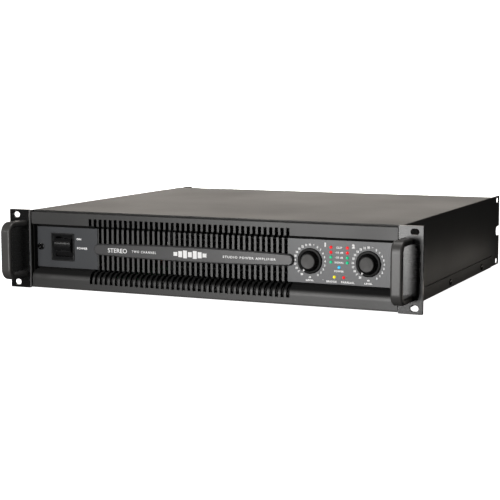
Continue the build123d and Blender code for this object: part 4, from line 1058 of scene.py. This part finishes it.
@dataclass
class Fan:
    """Cooling fan with a moulded impeller and a welded wire guard."""

    dresser: Dresser
    blades: int = 7
    hub_r: float = 16.0 * MM
    tip_r: float = 36.6 * MM
    chord: Span = (15.0 * MM, 22.0 * MM)
    pitch_angle: Span = (48.0, 30.0)
    thickness: float = 1.5 * MM
    camber: float = 1.6 * MM
    guard_rings: tuple = (8.0 * MM, 16.0 * MM, 24.0 * MM, 32.0 * MM)
    wire_r: float = 0.8 * MM
    corner: float = 35.75 * MM
    screw: Screw = Screw(3.5 * MM, 1.8 * MM, 2.0 * MM, 29.0 * MM)

    def build(self) -> None:
        """Build impeller, guard and screws round the fan housing."""
        self.dresser.dress("black_plastic", "fan_frame")
        self.build_impeller()
        self.build_guard()
        screws = Piece("fan_screw_set")
        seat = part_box("fan_screws")[1].y - self.screw.head_h
        for x in (-self.corner, self.corner):
            for z in (-self.corner, self.corner):
                self.screw.add_to(screws, (x, seat, z), Facing.REAR)
        screws.build(self.dresser.materials["black_screw"], "amplifier", "black_screw", ("fan_screws",))

    def build_impeller(self) -> None:
        """Hub cap, axle and cambered blades."""
        low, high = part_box("fan_rotor")
        hub_front = low.y + 3.2 * MM
        depth = high.y - hub_front
        impeller = Piece("fan_impeller_moulding")
        profile = np.array([
            (0.0, depth), (0.55, depth), (0.7, depth - 0.35 * MM), (0.86, depth - 0.5 * MM),
            (0.95, depth - 0.9 * MM), (1.0, depth - 2.2 * MM), (1.0, 0.4 * MM), (0.98, 0.0), (0.1, 0.0),
            (0.1, -3.2 * MM), (0.0, -3.2 * MM)])
        profile[:, 0] *= self.hub_r
        impeller.turned(profile, (0, hub_front, 0), Facing.REAR, 64)
        for index in range(self.blades):
            impeller.grid(self.blade(2 * pi * index / self.blades, hub_front + depth / 2))
        impeller.build(self.dresser.materials["black_plastic"], "fan_impeller", "black_plastic",
                       ("fan_rotor",))

    def blade(self, start: float, middle_y: float) -> np.ndarray:
        """One closed blade.

        Across: a flattened ellipse bent by a parabola of camber. Along the radius: its chord
        widens and its pitch flattens in a straight line from hub to tip.

        Args:
            start: angle of the blade's middle at the hub.
            middle_y: depth of its middle.

        Returns:
            Grid of points, radius by section.
        """
        share = np.linspace(0, 1, 14)[:, None]
        around = np.linspace(0, 2 * pi, 28, endpoint=False)[None, :]
        radius = self.hub_r - 0.6 * MM + (self.tip_r - self.hub_r + 0.6 * MM) * share
        chord = self.chord[0] + (self.chord[1] - self.chord[0]) * share
        pitch = np.radians(self.pitch_angle[0] + (self.pitch_angle[1] - self.pitch_angle[0]) * share)
        size = np.ones_like(share)
        size[[0, -1]] = 0.0
        along = chord / 2 * np.cos(around) * size
        lift = self.thickness / 2 * np.sin(around) * size
        lift = lift + self.camber * (1 - (2 * along / chord) ** 2) * size
        slide = along * np.cos(pitch) - lift * np.sin(pitch)
        turn = start + 0.35 * share + slide / radius
        y = middle_y + along * np.sin(pitch) + lift * np.cos(pitch)
        return np.stack([radius * np.sin(turn), y, radius * np.cos(turn)], -1)

    def build_guard(self) -> None:
        """Four rings on two crossing pairs of radial wires that end in eyelets."""
        low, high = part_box("fan_guard")
        ring_y, spoke_y = low.y + 1.6 * MM, high.y - self.wire_r
        outwards = np.array([0.0, 1.0, 0.0])
        guard = Piece("fan_wire_guard")
        angle = np.linspace(0, 2 * pi, 96, endpoint=False)
        for radius in self.guard_rings:
            circle = np.stack([radius * np.cos(angle), 0 * angle + ring_y, radius * np.sin(angle)], -1)
            guard.tube(circle, outwards, self.wire_r, 10, closed=True)
        small = np.linspace(0, 2 * pi, 28, endpoint=False)
        eye_r = 3.2 * MM
        inner = self.guard_rings[0]
        for quarter in range(4):
            turn = pi / 4 + quarter * pi / 2
            reach = self.corner * 2 ** 0.5 - eye_r
            radius = np.linspace(inner - 1.5 * MM, reach, 24)
            dip = smooth_step(radius, self.guard_rings[-1] + 1 * MM, reach)
            y = spoke_y - dip * (spoke_y - low.y - self.wire_r)
            line = np.stack([radius * cos(turn), y, radius * sin(turn)], -1)
            guard.tube(line, outwards, self.wire_r, 10)
            centre = (self.corner * 2 ** 0.5 * cos(turn), self.corner * 2 ** 0.5 * sin(turn))
            eye = np.stack([centre[0] + eye_r * np.cos(small), 0 * small + low.y + self.wire_r,
                            centre[1] + eye_r * np.sin(small)], -1)
            guard.tube(eye, outwards, self.wire_r, 10, closed=True)
        guard.build(self.dresser.materials["guard_chrome"], "amplifier", "guard_chrome", ("fan_guard",))


@dataclass
class RearPanel:
    """Connectors, breaker, mode switch and the printing round them."""

    dresser: Dresser
    socket_z: float = 8.0 * MM
    contact_r: float = 4.1 * MM
    words: tuple = (
        Label("INPUT 1", -92 * MM, -13.5 * MM, 2.6 * MM, weight=0.02),
        Label("INPUT 2", -126 * MM, -13.5 * MM, 2.6 * MM, weight=0.02),
        Label("MODE", -160 * MM, 19.0 * MM, 2.6 * MM, weight=0.02),
        Label("STEREO", -169 * MM, -1.0 * MM, 1.6 * MM),
        Label("BRIDGE", -151 * MM, -1.0 * MM, 1.6 * MM),
        Label("PARALLEL", -160 * MM, -4.6 * MM, 1.6 * MM),
        Label("SPEAKER 1", 76 * MM, -13.5 * MM, 2.6 * MM, weight=0.02),
        Label("SPEAKER 2", 110 * MM, -13.5 * MM, 2.6 * MM, weight=0.02),
        Label("RESET", 143 * MM, -6.0 * MM, 2.2 * MM, weight=0.02),
        Label("AC IN", 180 * MM, -13.5 * MM, 2.6 * MM, weight=0.02),
    )

    def build(self) -> None:
        """Dress the connectors, add contacts and print the panel."""
        self.dresser.dress("black_plastic", "xlr_input_1", "xlr_input_2", "speaker_socket_1",
                           "speaker_socket_2", "mains_inlet", "breaker_body", "mode_switch_body")
        self.dresser.dress("gloss_black", "mode_switch_slider")
        self.dresser.dress("steel", "xlr_latch_1", "xlr_latch_2")
        self.dresser.dress("button_red", "breaker_button")
        self.dresser.dress("circuit_board", "input_board")
        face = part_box("rear_panel")[1].y
        printing = Printing("rear_panel_print", face, Facing.REAR, self.dresser.materials["white"])
        for label in self.words:
            printing.write(label)
        printing.build("amplifier", "case_paint")
        self.build_contacts()

    def build_contacts(self) -> None:
        """Gold sleeves in the signal sockets and plated blades in the mains inlet."""
        gold = self.dresser.materials["contact_gold"]
        sleeve = np.array([(0.7, -7.0), (0.7, -0.4), (0.85, 0.0), (1.2, 0.0), (1.3, -0.2), (1.3, -7.0),
                           (0.7, -7.0)])
        for number in (1, 2):
            low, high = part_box(f"xlr_input_{number}")
            contacts = Piece(f"signal_contacts_{number}")
            for turn in (radians(30), radians(150), radians(270)):
                centre = ((low.x + high.x) / 2 + self.contact_r * cos(turn), high.y - 1.8 * MM,
                          self.socket_z + self.contact_r * sin(turn))
                contacts.turned(sleeve * MM, centre, Facing.REAR, 24)
            contacts.build(gold, "amplifier", "steel")
        inlet = middle_of("mains_inlet")
        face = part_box("rear_panel")[1].y
        blades = Piece("inlet_blades")
        for dx, dz in ((-8.0, -3.0), (0.0, 3.0), (8.0, -3.0)):
            centre = np.array([-(inlet.x + dx * MM), self.socket_z + dz * MM])
            corners = np.array([(-1, -1), (1, -1), (1, 1), (-1, 1)]) * np.array([1.08, 3.08]) * MM
            tip = corners * np.array([0.55, 0.85])
            rows = [(0 * corners, -19.8), (corners, -19.8), (corners, -3.0), (tip, -1.9), (0 * tip, -1.9)]
            local = np.stack([np.column_stack([flat + centre, np.full(4, depth * MM + face)])
                              for flat, depth in rows])
            blades.grid(local @ Facing.REAR.axes())
        blades.build(self.dresser.materials["steel"], "amplifier", "steel")


@dataclass
class Inside:
    """Heat sinks, boards, capacitors, transformer and wound parts."""

    dresser: Dresser
    turns: int = 40
    wire_r: float = 0.75 * MM
    can_r: float = 15.0 * MM
    choke_at: tuple = ((150 * MM, 255 * MM),)
    choke_r: Span = (9.8 * MM, 21.2 * MM)
    inductors_at: tuple = ((-150 * MM, 250 * MM), (-150 * MM, 200 * MM))
    inductor_r: Span = (8.8 * MM, 17.2 * MM)

    def build(self) -> None:
        """Dress the boards and build the round parts."""
        self.dresser.dress("heat_sink", "heat_sink_left", "heat_sink_right")
        self.dresser.dress("black_plastic", "output_transistors")
        self.dresser.dress("circuit_board", "amplifier_board", "power_supply_board")
        self.dresser.dress("steel", "board_standoffs")
        self.dresser.dress("ferrite", "power_transformer")
        self.build_capacitors()
        self.build_ring_coils("mains_choke", self.choke_at, self.choke_r)
        self.build_ring_coils("output_inductors", self.inductors_at, self.inductor_r)

    def build_capacitors(self) -> None:
        """Cans with a rolled bead near the foot, a crimped rim and a sunk top."""
        low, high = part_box("filter_capacitors")
        radius, tall = self.can_r, high.z - low.z
        share = np.array([(0.0, 0.0), (0.97, 0.0), (1.0, 0.01), (1.0, 0.07), (0.93, 0.09), (0.93, 0.1),
                          (1.0, 0.12), (1.0, 0.97), (0.98, 0.99), (0.94, 1.0), (0.9, 0.992), (0.88, 0.975),
                          (0.0, 0.975)])
        cans = Piece("filter_capacitor_cans")
        for x in np.linspace(low.x + radius, high.x - radius, 3):
            for y in (low.y + radius, high.y - radius):
                cans.turned(share * np.array([radius, tall]), (x, y, low.z), Facing.UP, 56)
        cans.build(self.dresser.materials["capacitor_sleeve"], "amplifier", "capacitor_sleeve",
                   ("filter_capacitors",))

    def build_ring_coils(self, node: str, centres: tuple, reach: Span) -> None:
        """Ring cores with wire wound round them.

        The wire follows a rounded rectangle round the core's section while it steps round the ring.

        Args:
            node: CAD node that the coils replace.
            centres: place of each ring seen from above, metres.
            reach: inner and outer radius of the wound ring.
        """
        inner, outer = reach
        low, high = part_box(node)
        coil = Piece(node + "_wound")
        t = np.linspace(0, 1, self.turns * 20)
        around = 2 * pi * self.turns * t
        step = 2 * pi * 0.92 * t
        half_w, half_h = (outer - inner) / 2, (high.z - low.z) / 2 - self.wire_r
        square, margin = 0.5, 0.8 * MM
        side = np.sign(np.cos(around)) * np.abs(np.cos(around)) ** square
        lift = np.sign(np.sin(around)) * np.abs(np.sin(around)) ** square
        radius = (outer + inner) / 2 + half_w * side
        for x, y in centres:
            centre = np.array([x, y, (low.z + high.z) / 2])
            path = centre + np.stack([radius * np.cos(step), radius * np.sin(step), half_h * lift], -1)
            hub = centre + np.stack([(outer + inner) / 2 * np.cos(step), (outer + inner) / 2 * np.sin(step),
                                     0 * step], -1)
            coil.tube(path, path - hub, self.wire_r, 6)
            near, far, top = inner + margin, outer - margin, half_h - margin
            core = np.array([(near, -top), (far, -top), (far, top), (near, top), (near, -top)])
            coil.turned(core, centre, Facing.UP, 64)
        coil.build(self.dresser.materials["copper_winding"], "amplifier", "copper_winding", (node,))


# ---------------------------------------------------------------- studio
@dataclass(frozen=True)
class SoftBox:
    """One rectangular light that points at aim and that the camera doesn't see."""

    name: str
    at: Point
    aim: Point
    size: Span
    power: float
    tint: Colour = (1.0, 0.98, 0.95)

    def build(self) -> None:
        """Hang the light."""
        light = bpy.data.lights.new(self.name, "AREA")
        light.shape = "RECTANGLE"
        light.size, light.size_y = self.size
        light.energy = self.power
        light.color = self.tint
        holder = bpy.data.objects.new(self.name, light)
        holder.location = self.at
        holder.visible_camera = False
        holder.rotation_euler = (Vector(self.aim) - Vector(self.at)).to_track_quat("-Z", "Y").to_euler()
        bpy.context.scene.collection.objects.link(holder)


@dataclass
class Studio:
    """Pale floor and wall, soft lights and the camera."""

    azimuth: float = 24.36
    elevation: float = 7.0
    roll: float = -0.14
    lens: float = 96.07
    camera_at: tuple = (0.6214, -1.2508, 0.1803)
    sensor: float = 36.0
    air_strength: float = 0.04
    paper_glow: float = 1.05
    cove_far: float = 3.2
    cove_near: float = -4.0
    cove_radius: float = 1.2
    cove_tall: float = 3.0
    cove_half: float = 6.0
    lights: tuple = (
        SoftBox("key_light", (-0.42, -1.95, 0.8), (0.05, 0.0, 0.0), (0.6, 0.5), 11.0, (1.0, 0.985, 0.97)),
        SoftBox("front_card", (-0.21, -1.2, 0.0), (0.1, 0.0, 0.0), (0.4, 0.36), 9.0, (1.0, 0.99, 0.98)),
        SoftBox("back_screen", (-0.85, 2.1, 0.55), (0.0, 0.3, 0.0), (1.6, 0.9), 8.8, (1.0, 0.93, 0.85)),
        SoftBox("left_card", (-1.3, -1.6, 0.48), (-0.15, 0.0, 0.0), (0.3, 0.3), 2.2, (1.0, 0.99, 0.98)),
        SoftBox("overhead", (0.1, 0.25, 1.7), (0.0, 0.2, 0.0), (0.9, 0.9), 14.0),
        SoftBox("rear_fill", (-0.4, 1.6, -0.01), (0.0, 0.37, 0.0), (0.9, 0.08), 9.0),
        SoftBox("left_fill", (-1.7, 0.4, 0.05), (-0.2, 0.2, 0.0), (0.6, 0.3), 6.0),
        SoftBox("side_card", (0.27, 0.22, -0.032), (0.2175, 0.22, -0.032), (0.44, 0.01), 0.026,
                (1.0, 0.93, 0.84)),
    )

    def build(self, floor_z: float) -> None:
        """Set up the whole studio round an object that stands at floor_z."""
        scene = bpy.context.scene
        scene.view_settings.view_transform = "Standard"
        self.build_world(scene)
        self.build_cove(floor_z)
        for light in self.lights:
            light.build()
        self.build_camera(scene)

    def build_world(self, scene: bpy.types.Scene) -> None:
        """Dim grey air round the lit set."""
        world = bpy.data.worlds.new("studio_air")
        world.use_nodes = True
        background = world.node_tree.nodes["Background"]
        background.inputs["Color"].default_value = (1.0, 0.99, 0.97, 1.0)
        background.inputs["Strength"].default_value = self.air_strength
        scene.world = world

    def build_cove(self, floor_z: float) -> None:
        """Floor that curves up into a wall: a straight run, a quarter circle, a straight run."""
        far, radius = self.cove_far, self.cove_radius
        bend = np.linspace(0, pi / 2, 24)
        y = np.concatenate([[self.cove_near], far - radius + radius * np.sin(bend), [far]])
        z = np.concatenate([[0.0], radius - radius * np.cos(bend), [self.cove_tall]]) + floor_z
        x = np.array([-self.cove_half, self.cove_half])
        points = np.stack(np.broadcast_arrays(x[None, :], y[:, None], z[:, None]), -1)
        mesh = bpy.data.meshes.new("studio_cove")
        mesh.from_pydata(points.reshape(-1, 3), [], grid_faces(len(y), 2, False).tolist())
        mesh.polygons.foreach_set("use_smooth", np.ones(len(mesh.polygons), bool))
        shader = Shader("studio_paper")
        tone = shader.blend(shader.noise(3.0, 2.0), (0.9, 0.9, 0.9), (0.93, 0.93, 0.93))
        glow = {"Emission Color": (1.0, 1.0, 1.0, 1.0), "Emission Strength": self.paper_glow}
        mesh.materials.append(shader.finish(tone, 0.9, fixed=glow))
        cove = bpy.data.objects.new("studio_cove", mesh)
        bpy.context.scene.collection.objects.link(cove)
        cove.visible_diffuse = False
        cove.visible_glossy = False
        cove.visible_shadow = False
        cove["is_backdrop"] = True

    def build_camera(self, scene: bpy.types.Scene) -> None:
        """Camera that looks along the given azimuth and elevation, rolled about its own axis."""
        az, el, roll = (radians(a) for a in (self.azimuth, self.elevation, self.roll))
        back = Vector((sin(az) * cos(el), -cos(az) * cos(el), sin(el)))
        right = Vector((cos(az), sin(az), 0.0))
        up = back.cross(right)
        turned_right = right * cos(roll) + up * sin(roll)
        turned_up = up * cos(roll) - right * sin(roll)
        data = bpy.data.cameras.new("camera")
        data.lens = self.lens
        data.sensor_width = self.sensor
        camera = bpy.data.objects.new("camera", data)
        rows = Matrix((turned_right, turned_up, back)).transposed().to_4x4()
        camera.matrix_world = Matrix.Translation(self.camera_at) @ rows
        scene.collection.objects.link(camera)
        scene.camera = camera


def as_lists(box: object) -> list:
    """Corners of a box as plain lists."""
    return [[float(v) for v in corner] for corner in box]


def main() -> None:
    """Build every sub-assembly in order."""
    logging.basicConfig(level=logging.INFO, format="%(message)s")
    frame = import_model()
    cad_box = as_lists(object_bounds())
    lead_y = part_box("led_blue")[1].y - 6.25 * MM
    centres = [(middle_of(f"knob_cap_{n}").x, 0.0, middle_of(f"knob_cap_{n}").z) for n in (1, 2)]
    # Heights above which painted shade makes the fascia, ribs and plates dead black.
    lip_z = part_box("fascia")[1].z - 0.05 * MM
    floor_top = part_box("control_plate")[1].z - 0.4 * MM
    # Ears' inner edge, which gets a painted highlight.
    ear_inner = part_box("rack_ear_right")[0].x + 0.05 * MM
    dresser = Dresser(frame["nodes"], finishes(lead_y, lip_z, floor_top, ear_inner, centres))
    for part in (Case, RackEars, Fascia, PowerSwitch, ControlPanel, Fan, RearPanel, Inside):
        part(dresser).build()
    Studio().build(cad_box[0][2])


if __name__ == "__main__":
    main()
